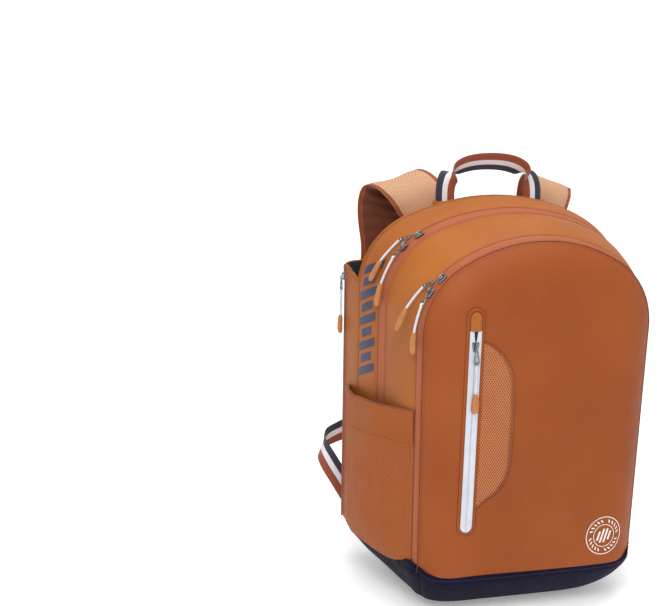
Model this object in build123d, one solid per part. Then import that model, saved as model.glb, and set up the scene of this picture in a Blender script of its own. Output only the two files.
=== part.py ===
from build123d import *
import math
import os

# Racket backpack, millimetres. Origin: centre of the resting face.
# +Z up, -Y is the front panel, +Y the side worn against the back, +X the wearer-view right.

os.makedirs("parts", exist_ok=True)

# ---------------------------------------------------------------- driving dimensions
BOOT_H = 55.0        # height of the moulded base all round
GAP = 0.3            # clearance between pieces that move past each other
WALL = 4.0           # padded shell walls
TAPER = 5.5          # how much narrower each side is at the boot than at the shoulder
# outlines of the body across its depth: y, half width, top z, shoulder centre z, shoulder radius
KNOTS = [
    (-99.0, 143.0, 449.0, 344.0, 90.0),
    (-88.0, 145.0, 453.0, 346.5, 90.5),
    (-14.0, 158.2, 468.5, 360.5, 94.0),
    (-12.0, 158.6, 469.0, 361.0, 94.0),
    (-1.0, 160.4, 471.0, 362.5, 94.5),
    (50.5, 169.0, 479.2, 367.6, 95.0),
    (52.5, 169.2, 479.5, 368.0, 95.0),
    (106.0, 168.5, 450.0, 350.0, 95.0),
    (112.0, 166.0, 446.0, 348.0, 95.0),
]
Y_FRONT_SEAM = -99.0
Y_FRONT_FACE = -121.0     # flat middle of the front panel
Y_BACK = 112.0
ZIP_X = -88.0             # front pocket zip runs straight down here
ZIP_Z0, ZIP_Z1 = 112.0, 352.5
WEB_W, WEB_T = 25.0, 2.4  # webbing
POCKET_TOP = 252.0
POCKET_HEM = 212.0
STRAP_W, STRAP_T = 70.0, 12.0
CORD_D = 3.0

# ---------------------------------------------------------------- helpers
def knot(y):
    for a, b in zip(KNOTS, KNOTS[1:]):
        if y <= b[0] or b is KNOTS[-1]:
            t = (y - a[0]) / (b[0] - a[0])
            return [p + (q - p) * t for p, q in zip(a, b)]

def outline(y, inset=0.0, zb=BOOT_H, at=None):
    """Closed wire of the body's arched outline in the plane y, moved inward by inset."""
    _, hw, zt, zc, r1 = knot(y if at is None else at)
    k, c1 = zt - zc, hw - r1
    r2 = (c1 * c1 + k * k - r1 * r1) / (2 * (k - r1))
    phi = math.atan2(c1, r2 - k)
    a1 = math.pi / 2 - phi
    ra, rb = r1 - inset, r2 - inset
    def P(x, z):
        return Vector(x, y, z)
    def sh(a, s):
        return P(s * (c1 + ra * math.cos(a)), zc + ra * math.sin(a))
    def side(s):
        slope = TAPER / (zc - BOOT_H)
        return P(s * (hw - inset - slope * (zc - zb)), zb)
    top = P(0, zt - r2 + rb)
    e = [
        Edge.make_line(side(-1), side(1)),
        Edge.make_line(side(1), sh(0, 1)),
        Edge.make_three_point_arc(sh(0, 1), sh(a1 / 2, 1), sh(a1, 1)),
        Edge.make_three_point_arc(sh(a1, 1), top, sh(a1, -1)),
        Edge.make_three_point_arc(sh(a1, -1), sh(a1 / 2, -1), sh(0, -1)),
        Edge.make_line(sh(0, -1), side(-1)),
    ]
    return Wire(e)

def body_solid(y0, y1, inset=0.0, zb=BOOT_H):
    """Solid between two outlines, ruled; both ends lie between the same two knots."""
    return Solid.make_loft([outline(y0, inset, zb), outline(y1, inset, zb)], True)

def band(y0, y1, out, wall, zb=BOOT_H):
    """Inverted-U wall of the body from the boot line over the top and down again."""
    inner = Solid.make_loft([outline(y0, out + wall, zb - 5), outline(y1, out + wall, zb - 5)], True)
    return body_solid(y0, y1, out, zb) - inner

def plate(y0, y1, inset=0.0, zb=BOOT_H, at=None):
    f = Face(outline(y0, inset, zb, at))
    n = f.normal_at().Y
    return Solid.extrude(f, Vector(0, y1 - y0, 0))

def box(x0, x1, y0, y1, z0, z1):
    return Pos((x0 + x1) / 2, (y0 + y1) / 2, (z0 + z1) / 2) * Box(x1 - x0, y1 - y0, z1 - z0)

def prism_xz(pts, y0, y1):
    w = Wire.make_polygon([Vector(x, y0, z) for x, z in pts], close=True)
    return Solid.extrude(Face(w), Vector(0, y1 - y0, 0))

def hull_of_rings(rings):
    """Closed solid of flat triangles through rings of equal point count."""
    n = len(rings[0])
    tri = []
    for r, q in zip(rings, rings[1:]):
        for j in range(n):
            k = (j + 1) % n
            if j < n / 2:
                tri.append((r[j], r[k], q[k]))
                tri.append((r[j], q[k], q[j]))
            else:
                tri.append((r[j], r[k], q[j]))
                tri.append((r[k], q[k], q[j]))
    for r, flip in ((rings[0], True), (rings[-1], False)):
        for j in range(1, n - 1):
            t = (r[0], r[j], r[j + 1])
            tri.append(t[::-1] if flip else t)
    faces = [Face(Wire.make_polygon(list(t), close=True)) for t in tri]
    return Solid(Shell(faces))

def ribbon(pts, wides, width, thick):
    """Strip of rectangular section along pts; wides gives the section's width direction at each point."""
    ws = []
    n = len(pts)
    P = [Vector(*p) for p in pts]
    for i in range(n):
        t = (P[min(i + 1, n - 1)] - P[max(i - 1, 0)]).normalized()
        w = Vector(*wides[i])
        w = (w - t * w.dot(t)).normalized()
        m = t.cross(w).normalized()
        a, b = w * (width / 2), m * (thick / 2)
        ws.append([P[i] - a - b, P[i] + a - b, P[i] + a + b, P[i] - a + b])
    return hull_of_rings(ws)

def bar(p, q, wide, width, thick):
    return ribbon([p, q], [wide, wide], width, thick)

def solids(*s):
    out = []
    for x in s:
        out += list(x.solids())
    return Compound(children=out) if len(out) > 1 else out[0]

NODES = {}
def put(name, shape):
    NODES[name] = shape
    sh = shape if isinstance(shape, (Compound, Solid)) else shape
    sh.label = name
    export_step(sh, f"parts/{name}.step")

# ---------------------------------------------------------------- boot (moulded base) and base board
def boot_ring(inset):
    """Boot outline at the boot line and its resting outline, point by point round the body."""
    h = [knot(y)[1] - TAPER for y in (-99.0, -12.0, 52.5, 112.0)]
    top = [(-80, -121), (-112, -118), (-129, -110), (-h[0], -99), (-h[1], -12), (-h[2], 52.5), (-h[3], 112)]
    foot = [(-66, -62), (-88, -59), (-101, -49), (-106, -34), (-102, -4), (-96, 34), (-88, 58)]
    top += [(-x, y) for x, y in reversed(top)]
    foot += [(-x, y) for x, y in reversed(foot)]
    cx, cy = 0.0, 0.0
    def shrink(pts):
        out = []
        n = len(pts)
        for i, (x, y) in enumerate(pts):
            ax, ay = pts[i - 1]
            bx, by = pts[(i + 1) % n]
            # inward normals of the two neighbouring sides
            def nrm(px, py, qx, qy):
                dx, dy = qx - px, qy - py
                l = math.hypot(dx, dy)
                return (dy / l, -dx / l)
            n1, n2 = nrm(ax, ay, x, y), nrm(x, y, bx, by)
            if n1[0] * (cx - x) + n1[1] * (cy - y) < 0:
                n1, n2 = (-n1[0], -n1[1]), (-n2[0], -n2[1])
            mx, my = n1[0] + n2[0], n1[1] + n2[1]
            d = mx * n1[0] + my * n1[1]
            out.append((x + mx * inset / d, y + my * inset / d))
        return out
    return shrink(top), shrink(foot)

def boot_solid(inset, z_low, z_high):
    top, foot = boot_ring(inset)
    ws = []
    levels = [0.0, 0.06, 0.16, 0.32, 0.55, 0.78, 1.0]
    for t in levels:
        k = 1 - max(0.0, 1 - (1 - t) ** 1.35) ** (1 / 1.35)
        if t == 0.0:
            k = 1.0
        z = z_low + (z_high - z_low) * t
        ws.append(Wire.make_polygon([Vector(a[0] + (b[0] - a[0]) * k, a[1] + (b[1] - a[1]) * k, z) for a, b in zip(top, foot)], close=True))
    return Solid.make_loft(ws, True)

boot = boot_solid(0, 0, BOOT_H) - boot_solid(WALL, WALL, BOOT_H + 0.01)
boot = boot - box(-400, 400, -400, 400, BOOT_H, BOOT_H + 5)
put("boot", boot)
_, foot_in = boot_ring(WALL + 3)
put("base_board", Solid.extrude(Face(Wire.make_polygon([Vector(x, y, WALL) for x, y in foot_in], close=True)), Vector(0, 0, 3)))

# ---------------------------------------------------------------- body from front to back
tape_in, tape_wall = 0.8, 2.2
put("front_zip_tape", band(-99.0, -88.0, tape_in, tape_wall))
put("front_gusset", band(-88.0, -14.0, 0, WALL))
put("compartment_divider", plate(-14.0, -12.0, 1.5, BOOT_H, -12.0))
put("main_zip_tape", band(-12.0, -1.0, tape_in, tape_wall))
put("rear_gusset", band(-1.0, 50.5, 0, WALL))
put("racket_divider", plate(50.5, 52.5, 0, BOOT_H, 52.5))
# the mouth that the racket heads go in by, at the wearer-view left shoulder
MOUTH = (-200, -116, 60, 101, 362, 434)
mouth = box(*MOUTH)
CORNER = [(-190, 391), (-165, 392), (-142, 393), (-120, 414), (-97, 441), (-97, 490), (-190, 490)]
put("racket_shell", band(52.5, 106.0, 0, WALL) - mouth - prism_xz(CORNER, 60, 107))
put("racket_lining", band(52.5, 106.0, WALL + 0.05, 1.6) - mouth - prism_xz(CORNER, 60, 107))
put("back_panel", plate(106.0, 112.0, 0, BOOT_H, 106.0) - prism_xz(CORNER, 105, 113))

# racket zip: straight tape up the left side, its top standing off the shoulder as the mouth's lip
hwz = knot(98.0)[1]
zc98 = knot(98.0)[3]
sl = TAPER / (zc98 - BOOT_H)
def side98(z):
    return -(hwz - sl * (zc98 - z))
rzt = prism_xz([(side98(62) - 0.25, 62), (side98(388) - 0.25, 388), (side98(388) - 2.0, 388), (side98(62) - 2.0, 62)], 92.0, 104.0)
put("racket_zip_tape", rzt - body_solid(52.5, 106.0))

# ---------------------------------------------------------------- back padding and yoke
def pad(x0, x1, y0, y1, z0, z1, r):
    b = box(x0, x1, y0, y1, z0, z1)
    b = fillet(b.edges().filter_by(Axis.Y), r)
    return fillet(b.faces().sort_by(Axis.Y)[-1].edges(), 5)
put("back_pad_left", pad(-138, -22, 112, 124, 170, 372, 26))
put("back_pad_right", pad(22, 138, 112, 124, 170, 372, 26))
put("lumbar_pad", pad(-120, 120, 112, 126, 76, 150, 24))
yoke = fillet(box(-96, 96, 112, 116, 382, 422).edges().filter_by(Axis.Y), 12)
put("strap_yoke", yoke)

# ---------------------------------------------------------------- side bottle pockets of net
def pocket_half(s):
    ys = [-86.0, -72.0, -40.0, -14.0, -12.0, -1.0, 24.0, 50.5, 52.5, 68.0, 82.0]
    bulge = [1.6, 9.0, 15.0, 17.0, 17.1, 17.5, 17.0, 14.2, 14.0, 9.0, 1.6]
    def sec(y, b, inner, zb, zt):
        _, hw, _, zc, _ = knot(y)
        def X(z, off):
            return s * (hw - TAPER / (zc - BOOT_H) * (zc - z) + off)
        e = -6.0 if inner else 0.12
        return Wire.make_polygon([
            Vector(X(zb, e), y, zb), Vector(X(zb, b * 0.55), y, zb), Vector(X(zb + 40, b), y, zb + 40),
            Vector(X(190, b), y, 190), Vector(X(zt, b * 0.8), y, zt), Vector(X(zt, e), y, zt)], close=True)
    outer = Solid.make_loft([sec(y, b, False, BOOT_H + 0.5, POCKET_TOP) for y, b in zip(ys, bulge)], True)
    inn = [sec(y, max(b - 1.8, 0.05), True, BOOT_H + 2.5, POCKET_TOP + 2) for y, b in list(zip(ys, bulge))[1:-1]]
    inner = Solid.make_loft(inn, True)
    return outer - inner
for s, n in ((-1, "left"), (1, "right")):
    skin = pocket_half(s)
    low = skin - box(-300, 300, -300, 300, POCKET_HEM, 400)
    high = skin - box(-300, 300, -300, 300, 0, POCKET_HEM)
    put(f"side_pocket_{n}", low)
    put(f"pocket_hem_{n}", high)

# ---------------------------------------------------------------- front panel (the front compartment's flap)
def crown(secs, zb):
    return Solid.make_loft([outline(y, i, zb, -99.0) for y, i in secs], True)
fp_out = crown([(-99.0 - GAP, 0), (-110, 8), (-118, 22), (Y_FRONT_FACE, 40)], BOOT_H + GAP)
fp_in = crown([(-98.0, WALL), (-108, 12), (-114.5, 25), (-117, 42)], BOOT_H + GAP + 3)
front_panel = fp_out - fp_in
slot_w = 15.0
front_panel = front_panel - box(ZIP_X - 5.5, ZIP_X + 5.5, -123, -115, ZIP_Z0 + 4, ZIP_Z1)
put("front_panel", front_panel)
# the bag of the front pocket hangs behind the slot
bag = box(-94.0, 20, -117, -105.5, 100, 371) - box(-92.9, 18.5, -118, -107, 101.5, 369.5)
put("pocket_bag", bag)
tape = box(ZIP_X - 5.5, ZIP_X + 5.5, -120.6, -118.4, ZIP_Z0 + 4, ZIP_Z1)
put("pocket_zip_tape", tape)
welt = box(ZIP_X - 11, ZIP_X + 11, -122.0, -121, ZIP_Z0 - 3, ZIP_Z1 + 26)
welt = fillet(welt.edges().filter_by(Axis.Y), 9)
hole = box(ZIP_X - 7.5, ZIP_X + 7.5, -124, -120, ZIP_Z0, ZIP_Z1 + 22)
hole = fillet(hole.edges().filter_by(Axis.Y), 7)
put("pocket_welt", welt - hole)
gar = box(ZIP_X - 7.4, ZIP_X + 7.4, -122.6, -121, ZIP_Z1 + 0.5, ZIP_Z1 + 21.5)
gar = fillet(gar.edges().filter_by(Axis.Y).sort_by(Axis.Z)[-2:], 6.5)
put("zip_garage", gar)
vent = [(-76.7, 338), (-63.7, 331), (-50.6, 318), (-43, 304), (-39.6, 288), (-37.8, 248), (-38.9, 192), (-47.4, 166), (-63.5, 153), (-76.7, 143)]
put("vent_panel", prism_xz(vent, -121, -122.0))

# ---------------------------------------------------------------- carry handle
HY, HZ = 62.0, 472.4
hull_top = body_solid(52.5, 106.0)
anch = []
for s in (-1, 1):
    anch.append(box(s * 58 - 14, s * 58 + 14, HY - 6, HY + 6, 455, HZ - 1.3) - hull_top)
put("handle_anchors", solids(*anch))
hp, hw_ = [], []
N = 16
for i in range(N + 1):
    t = i / N
    a = math.pi * t
    x = -58 * math.cos(a) * (1 + 0.10 * math.sin(a))
    z = HZ + 45.0 * math.sin(a) ** 0.72 if 0 < i < N else HZ
    hp.append((x, HY - 1.0 * math.sin(a), z))
    turn = math.radians(90) * min(1.0, max(0.0, (math.sin(a) - 0.25) / 0.65))
    c, q = math.cos(turn), math.sin(turn)
    s = 1
    # at the feet the webbing faces forward; on the arch its width runs back and up
    hw_.append((s * c * (1 if t < 0.5 else -1), -q * 0.45, q * 0.90))
# keep the width direction continuous across the arch
for i in range(1, N + 1):
    d = sum(a * b for a, b in zip(hw_[i - 1], hw_[i]))
    if d < 0:
        hw_[i] = tuple(-c for c in hw_[i])
hp[0] = (-58, HY, HZ); hp[-1] = (58, HY, HZ)
put("handle_webbing", ribbon(hp, hw_, WEB_W, WEB_T))

# ---------------------------------------------------------------- shoulder straps
def strap(s):
    if s < 0:
        c = [(-60, 119.9, 446), (-65, 120.2, 459), (-73, 124.5, 472), (-82, 136, 481), (-92, 150.5, 482), (-99, 163, 472), (-99.5, 169.3, 444), (-92, 171, 392), (-97, 170, 335), (-107, 165, 275), (-114, 160, 226)]
        tilt = [0.34, 0.36, 0.36, 0.33, 0.30, 0.24, 0.18, 0.12, 0.1, 0.07, 0.0]
    else:
        c = [(102, 119.9, 446), (105, 120.2, 458), (110, 124, 470), (114.5, 132, 477.5), (117.5, 145, 479), (119.5, 158, 469), (121, 167, 444), (120, 171, 392), (118, 170, 330), (116, 165, 272), (114, 160, 226)]
        tilt = [-0.40, -0.42, -0.42, -0.38, -0.32, -0.24, -0.14, -0.06, -0.02, 0.0, 0.0]
    return c, [(1, 0, t) for t in tilt]
for s, n in ((-1, "left"), (1, "right")):
    c, w = strap(s)
    put(f"strap_pad_{n}", ribbon(c, w, STRAP_W, STRAP_T))
    # ladder lock at the strap's lower end: frame with two bars
    x, y, z = c[-1]
    fr = box(x - 17, x + 17, y - 3, y + 3, z - 24, z - 0.0)
    fr = fr - box(x - 13, x + 13, y - 5, y + 5, z - 21, z - 14) - box(x - 13, x + 13, y - 5, y + 5, z - 10.5, z - 4)
    fr = fr - box(x - 300, x + 300, y - 300, y + 300, z - 0.0, z + 30)
    put(f"ladder_lock_{n}", fr - NODES[f"strap_pad_{n}"])

# lower webbing: leaves the corner tab, loops out beside the pack and comes back behind it to the ladder lock
LOW = [(-150, 115.2, 78), (-160, 115.8, 93), (-169.5, 117, 108), (-178, 119.5, 122), (-184, 124.5, 133), (-186.5, 132.5, 139.5), (-185, 141.5, 143), (-178.5, 149.5, 147), (-166, 154.5, 153), (-151, 157.5, 161), (-135, 159.2, 170), (-121.5, 159.9, 179), (-114.6, 160, 189.5), (-114, 160, 201)]
# across the run: flat on the back at the tab, rolling over at the fold, level at the ladder lock
LOWW = [(-.8, 0, -.58), (-.8, 0, -.58), (-.78, .03, -.6), (-.74, .12, -.65), (-.66, .28, -.69), (-.5, .4, -.75), (-.2, .42, -.86), (.1, .3, -.92), (.34, .05, -.9), (.42, -.1, -.88), (.47, -.12, -.86), (.72, -.05, -.6), (.97, 0, -.15), (1, 0, 0)]
for s, n in ((-1, "left"), (1, "right")):
    pts = [(-s * x, y, z) for x, y, z in LOW]
    P = [Vector(*p) for p in pts]
    ww = []
    for i, w in enumerate(LOWW):
        t = (P[min(i + 1, len(P) - 1)] - P[max(i - 1, 0)]).normalized()
        d0 = Vector(-s * w[0], w[1], w[2])
        d0 = (d0 - t * d0.dot(t)).normalized()
        ww.append((d0.X, d0.Y, d0.Z))
    put(f"lower_webbing_{n}", ribbon(pts, ww, WEB_W, 1.8))
    tri = [(-122, 60), (-122, 100), (-146, 94.5), (-163, 78.5), (-150, 62)]
    put(f"corner_tab_{n}", prism_xz([(-s * x, z) for x, z in tri], 112, 113.8))

# ---------------------------------------------------------------- zip sliders with pulls
def arc_pt(y, deg, off, s=-1):
    """Point on the shoulder arc of the outline at depth y, standing off by off."""
    _, hw, zt, zc, r1 = knot(y)
    a = math.radians(deg)
    return (s * (hw - r1 + (r1 + off) * math.cos(a)), y, zc + (r1 + off) * math.sin(a))

def slider_at(p, run, out, length=12.0, width=9.0, height=4.4):
    """Slider body: wedge-ended block with a bridge; p on the tape, run along the zip, out away from it."""
    p, run, out = Vector(*p), Vector(*run).normalized(), Vector(*out)
    out = (out - run * out.dot(run)).normalized()
    w = run.cross(out).normalized()
    def V(a, b, c):
        return p + run * a + w * b + out * c
    prof = [V(-length / 2, -width * 0.36, 0), V(-length * 0.1, -width / 2, 0), V(length / 2, -width / 2, 0),
            V(length / 2, width / 2, 0), V(-length * 0.1, width / 2, 0), V(-length / 2, width * 0.36, 0)]
    body = Solid.extrude(Face(Wire.make_polygon(prof, close=True)), out * (height * 0.5))
    br = [V(-length * 0.33, -1.1, height * 0.5), V(-length * 0.2, -1.1, height * 0.5 + 2.6), V(length * 0.2, -1.1, height * 0.5 + 2.6), V(length * 0.33, -1.1, height * 0.5),
          V(length * 0.18, -1.1, height * 0.5), V(length * 0.10, -1.1, height * 0.5 + 1.4), V(-length * 0.10, -1.1, height * 0.5 + 1.4), V(-length * 0.18, -1.1, height * 0.5)]
    bridge = Solid.extrude(Face(Wire.make_polygon(br, close=True)), w * 2.2)
    return body + bridge, w

def frame_solid(p, q, wide, width, thick, hole_w, hole_in):
    """Flat ring-shaped puller from p to q."""
    p, q = Vector(*p), Vector(*q)
    t = (q - p).normalized()
    L = (q - p).length
    w = Vector(*wide); w = (w - t * w.dot(t)).normalized()
    m = t.cross(w).normalized()
    def V(a, b, c):
        return p + t * a + w * b + m * c
    o = [(0, -width * 0.32), (L * 0.3, -width / 2), (L * 0.85, -width / 2), (L, -width * 0.34), (L, width * 0.34), (L * 0.85, width / 2), (L * 0.3, width / 2), (0, width * 0.32)]
    i = [(hole_in, -hole_w * 0.32), (L * 0.35, -hole_w / 2), (L * 0.8, -hole_w / 2), (L - hole_in, -hole_w * 0.3), (L - hole_in, hole_w * 0.3), (L * 0.8, hole_w / 2), (L * 0.35, hole_w / 2), (hole_in, hole_w * 0.32)]
    O = Solid.extrude(Face(Wire.make_polygon([V(a, b, -thick / 2) for a, b in o], close=True)), m * thick)
    I = Solid.extrude(Face(Wire.make_polygon([V(a, b, -thick) for a, b in i], close=True)), m * (2 * thick))
    return O - I

def tube(pts, d):
    P = [Vector(*p) for p in pts]
    if len(P) > 2:
        radii = []
        for a, b, c in zip(P, P[1:], P[2:]):
            u, v = (b - a), (c - b)
            ang = math.radians(u.get_angle(v))
            radii.append(0.45 * min(u.length, v.length) / math.tan(ang / 2))
        print("cord radii", [round(r, 1) for r in radii])
        path = FilletPolyline(*P, radius=radii)
    else:
        path = Line(P[0], P[1])
    w = Wire(path.edges())
    sec = Plane(origin=P[0], z_dir=(P[1] - P[0])) * Circle(d / 2)
    return sweep(sec, path=w)

def grip(p, q, wide, width=9.5, thick=4.0):
    """Moulded grip: flat rounded bar from p to q."""
    p, q = Vector(*p), Vector(*q)
    t = (q - p).normalized()
    L = (q - p).length
    w = Vector(*wide); w = (w - t * w.dot(t)).normalized()
    m = t.cross(w).normalized()
    ws = []
    for a, k in ((0, 0.62), (0.12, 0.86), (0.35, 1.0), (0.75, 0.94), (0.93, 0.78), (1.0, 0.5)):
        c = p + t * (L * a)
        x, y = w * (width / 2 * k), m * (thick / 2 * (0.75 + 0.25 * k))
        ws.append(Wire.make_polygon([c - x - y * 0.6, c - x * 0.8 - y, c + x * 0.8 - y, c + x - y * 0.6, c + x + y * 0.6, c + x * 0.8 + y, c - x * 0.8 + y, c - x + y * 0.6], close=True))
    return Solid.make_loft(ws, True)

PULLS = {}
def pull(name, s_p, run, out, a, b, c, d, mid=None):
    """s_p slider point; a-b puller ring; b-c cord; c-d grip. All in the pull's own plane."""
    sl_, w = slider_at(s_p, run, out)
    put(f"{name}_slider", sl_)
    put(f"{name}_puller", frame_solid(a, b, tuple(w), 6.4, 1.4, 3.2, 1.8))
    pts = [b] + (mid or []) + [c]
    put(f"{name}_cord", tube(pts, CORD_D))
    put(f"{name}_grip", grip(c, d, tuple(w)))
    PULLS[name] = dict(slider=s_p, pivot=a, w=tuple(w), cord=pts)
    L = sum((Vector(*q) - Vector(*p)).length for p, q in zip(pts, pts[1:]))
    print(name, "cord length", round(L, 1), "axis", [round(v, 4) for v in tuple(w)], "pivot", [round(v, 3) for v in a])

def arc_pull(name, y, deg, dirs, side_y, offs, stand=0.5):
    """Pull lying down the shoulder arc from a slider at angle deg; dirs gives the angles of ring end, cord end, grip end."""
    P = lambda dg, off, yy: arc_pt(y, dg, off)[0:1] + (yy,) + arc_pt(y, dg, off)[2:3]
    s_p = P(deg, stand, y)
    a_ = math.radians(deg)
    run = (math.sin(a_), 0, math.cos(a_))     # up along the zip
    out = (-math.cos(a_), 0, math.sin(a_))
    a = P(deg - 5.2, offs[0], y + side_y[0])
    b = P(dirs[0], offs[1], y + side_y[1])
    c = P(dirs[1], offs[2], y + side_y[2])
    d = P(dirs[2], offs[3], y + side_y[3])
    m = (dirs[0] * 0.5 + dirs[1] * 0.5)
    mid = [P(m, (offs[1] + offs[2]) / 2 + 0.3, y + (side_y[1] + side_y[2]) / 2)]
    pull(name, s_p, run, out, a, b, c, d, mid)

arc_pull("front_zip_a", -93.5, 43.0, (31.5, 14.5, 0.0), (3.0, 10.0, 15.0, 18.0), (6.2, 9.5, 16.0, 23.5), 0.9)
arc_pull("front_zip_b", -93.5, 30.5, (19.5, 1.0, -13.5), (-1.5, -2.0, -2.5, -3.0), (5.4, 6.8, 8.8, 12.0), 1.7)
arc_pull("main_zip_a", -6.5, 57.5, (45.5, 27.5, 12.5), (3.0, 10.0, 15.0, 18.0), (6.2, 8.5, 10.5, 13.0), 0.9)
arc_pull("main_zip_b", -6.5, 44.0, (32.5, 14.0, -1.5), (-1.5, -2.0, -2.5, -3.0), (5.4, 5.8, 6.6, 8.0), 1.7)

# front pocket: hangs straight down in front of its zip
pull("front_pocket", (ZIP_X, -120.6 - GAP, 334), (0, 0, 1), (0, -1, 0),
     (ZIP_X, -126.4, 331), (ZIP_X + 0.8, -126.2, 314), (ZIP_X + 1.6, -125.8, 280), (ZIP_X + 2.2, -125.6, 256), [(ZIP_X + 1.8, -126.4, 297)])
# racket compartment: hangs at the mouth's lip
sx = side98(372) - 2.0 - GAP
pull("racket_zip", (sx, 98, 374), (-sl, 0, 1), (-1, 0, -sl),
     (sx - 5.4, 98, 371.5), (sx - 5.0, 98.6, 357), (sx - 4.4, 99.6, 324), (sx - 3.9, 100.2, 300), [(sx - 5.0, 99.4, 341)])

print(len(NODES), "nodes")
for n, p in PULLS.items():
    print(n, {k: ([round(c, 3) for c in v] if k != "cord" else [[round(c, 3) for c in q] for q in v]) for k, v in p.items()})
for nm, y in (("front", -93.5), ("main", -6.5)):
    k = knot(y)
    print(nm, "shoulder centre", round(-(k[1] - k[4]), 3), y, round(k[3], 3))
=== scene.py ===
import bpy, bmesh, math
import numpy as np
from mathutils import Vector, Matrix


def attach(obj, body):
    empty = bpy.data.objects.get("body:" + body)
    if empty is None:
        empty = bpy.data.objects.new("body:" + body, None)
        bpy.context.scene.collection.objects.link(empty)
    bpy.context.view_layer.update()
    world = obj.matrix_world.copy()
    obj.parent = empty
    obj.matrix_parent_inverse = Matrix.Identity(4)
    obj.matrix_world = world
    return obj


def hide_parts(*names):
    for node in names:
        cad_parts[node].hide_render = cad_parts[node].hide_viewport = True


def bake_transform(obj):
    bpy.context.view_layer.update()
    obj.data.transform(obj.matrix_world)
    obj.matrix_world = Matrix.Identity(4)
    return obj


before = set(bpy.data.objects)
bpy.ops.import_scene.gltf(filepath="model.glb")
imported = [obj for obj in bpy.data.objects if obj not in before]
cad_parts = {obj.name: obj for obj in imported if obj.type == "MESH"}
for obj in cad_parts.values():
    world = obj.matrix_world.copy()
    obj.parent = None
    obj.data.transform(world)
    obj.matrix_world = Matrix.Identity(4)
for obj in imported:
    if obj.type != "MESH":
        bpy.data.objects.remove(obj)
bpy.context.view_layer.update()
MM = 0.001

# ------------------------------------------------------------------ camera
cam_d = bpy.data.cameras.new("camera")
cam = bpy.data.objects.new("camera", cam_d)
bpy.context.scene.collection.objects.link(cam)
cam_d.sensor_width = 36.0
cam_d.lens = 81.485
_fw = Vector((0.299361, 0.928941, -0.217833)); _ri = Vector((0.953392, -0.300266, 0.029742)); _up = Vector((0.037779, 0.216584, 0.975533))
_m = Matrix((( _ri.x, _up.x, -_fw.x, -0.745198), (_ri.y, _up.y, -_fw.y, -1.617092), (_ri.z, _up.z, -_fw.z, 0.742187), (0, 0, 0, 1)))
cam.matrix_world = _m
cam_d.clip_start, cam_d.clip_end = 0.05, 50
bpy.context.scene.camera = cam
bpy.context.scene.view_settings.view_transform = "Standard"
bpy.context.scene.view_settings.look = "None"

# ------------------------------------------------------------------ body outlines (same numbers as the CAD)
BOOT_H, TAPER = 55.0, 5.5
KN = np.array([
    (-121.0, 143.0, 449.0, 344.0, 90.0),
    (-99.0, 143.0, 449.0, 344.0, 90.0), (-88.0, 145.0, 453.0, 346.5, 90.5), (-14.0, 158.2, 468.5, 360.5, 94.0),
    (-12.0, 158.6, 469.0, 361.0, 94.0), (-1.0, 160.4, 471.0, 362.5, 94.5), (50.5, 169.0, 479.2, 367.6, 95.0),
    (52.5, 169.2, 479.5, 368.0, 95.0), (106.0, 168.5, 450.0, 350.0, 95.0), (112.0, 166.0, 446.0, 348.0, 95.0)])

def knot(y):
    return [float(np.interp(y, KN[:, 0], KN[:, i])) for i in range(1, 5)]

def arch_param(y):
    hw, zt, zc, r1 = knot(y)
    k, c1 = zt - zc, hw - r1
    r2 = (c1 * c1 + k * k - r1 * r1) / (2 * (k - r1))
    phi = math.atan2(c1, r2 - k)
    return hw, zt, zc, r1, c1, r2, phi

NS, NA, NT = 46, 34, 52
def arch(y, inset=0.0, zb=BOOT_H, ns=NS, na=NA, nt=NT):
    """x, z and outward normal at columns from the left boot line over the top to the right boot line."""
    hw, zt, zc, r1, c1, r2, phi = arch_param(y)
    slope = TAPER / (zc - BOOT_H)
    a1 = math.pi / 2 - phi
    zs = np.linspace(zb, zc, ns + 1)[:-1]
    xs = hw - slope * (zc - zs) - inset
    nx = np.ones_like(zs) / math.hypot(1, slope); nz = -slope * nx
    a = np.linspace(0, a1, na + 1)[:-1]
    xa = c1 + (r1 - inset) * np.cos(a); za = zc + (r1 - inset) * np.sin(a)
    b = np.linspace(phi, 0, nt // 2 + 1)
    xt = (r2 - inset) * np.sin(b); zt_ = zt - r2 + (r2 - inset) * np.cos(b)
    X = np.r_[xs, xa, xt]; Z = np.r_[zs, za, zt_]
    NX = np.r_[nx, np.cos(a), np.sin(b)]; NZ = np.r_[nz, np.sin(a), np.cos(b)]
    X = np.r_[-X, X[::-1][1:]]; NX = np.r_[-NX, NX[::-1][1:]]
    Z = np.r_[Z, Z[::-1][1:]]; NZ = np.r_[NZ, NZ[::-1][1:]]
    return X, Z, NX, NZ

def surf_pt(y, s, off=0.0):
    """Point on the outline at depth y, s in columns (float) from the left boot line, standing off by off."""
    X, Z, NX, NZ = arch(y)
    i = np.arange(len(X))
    x, z, nx, nz = (np.interp(s, i, v) for v in (X, Z, NX, NZ))
    return np.array([x + nx * off, np.full_like(np.asarray(x, float), y), z + nz * off]), np.array([nx, 0 * nx, nz])

rng = np.random.default_rng(7)
_W = [(rng.normal(size=3), rng.uniform(0, 6.28)) for _ in range(24)]
def wob(P, wave, seed=0, n=6):
    """Smooth unevenness, about -1..1, over points P (..., 3) in mm, of the given wavelength in mm."""
    out = np.zeros(P.shape[:-1])
    for j in range(n):
        d, ph = _W[(seed * 5 + j) % 24]
        d = d / np.linalg.norm(d)
        out += np.sin(P @ d * (2 * math.pi / (wave * (0.75 + 0.12 * j))) + ph + seed)
    return out / (0.55 * n)

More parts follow.
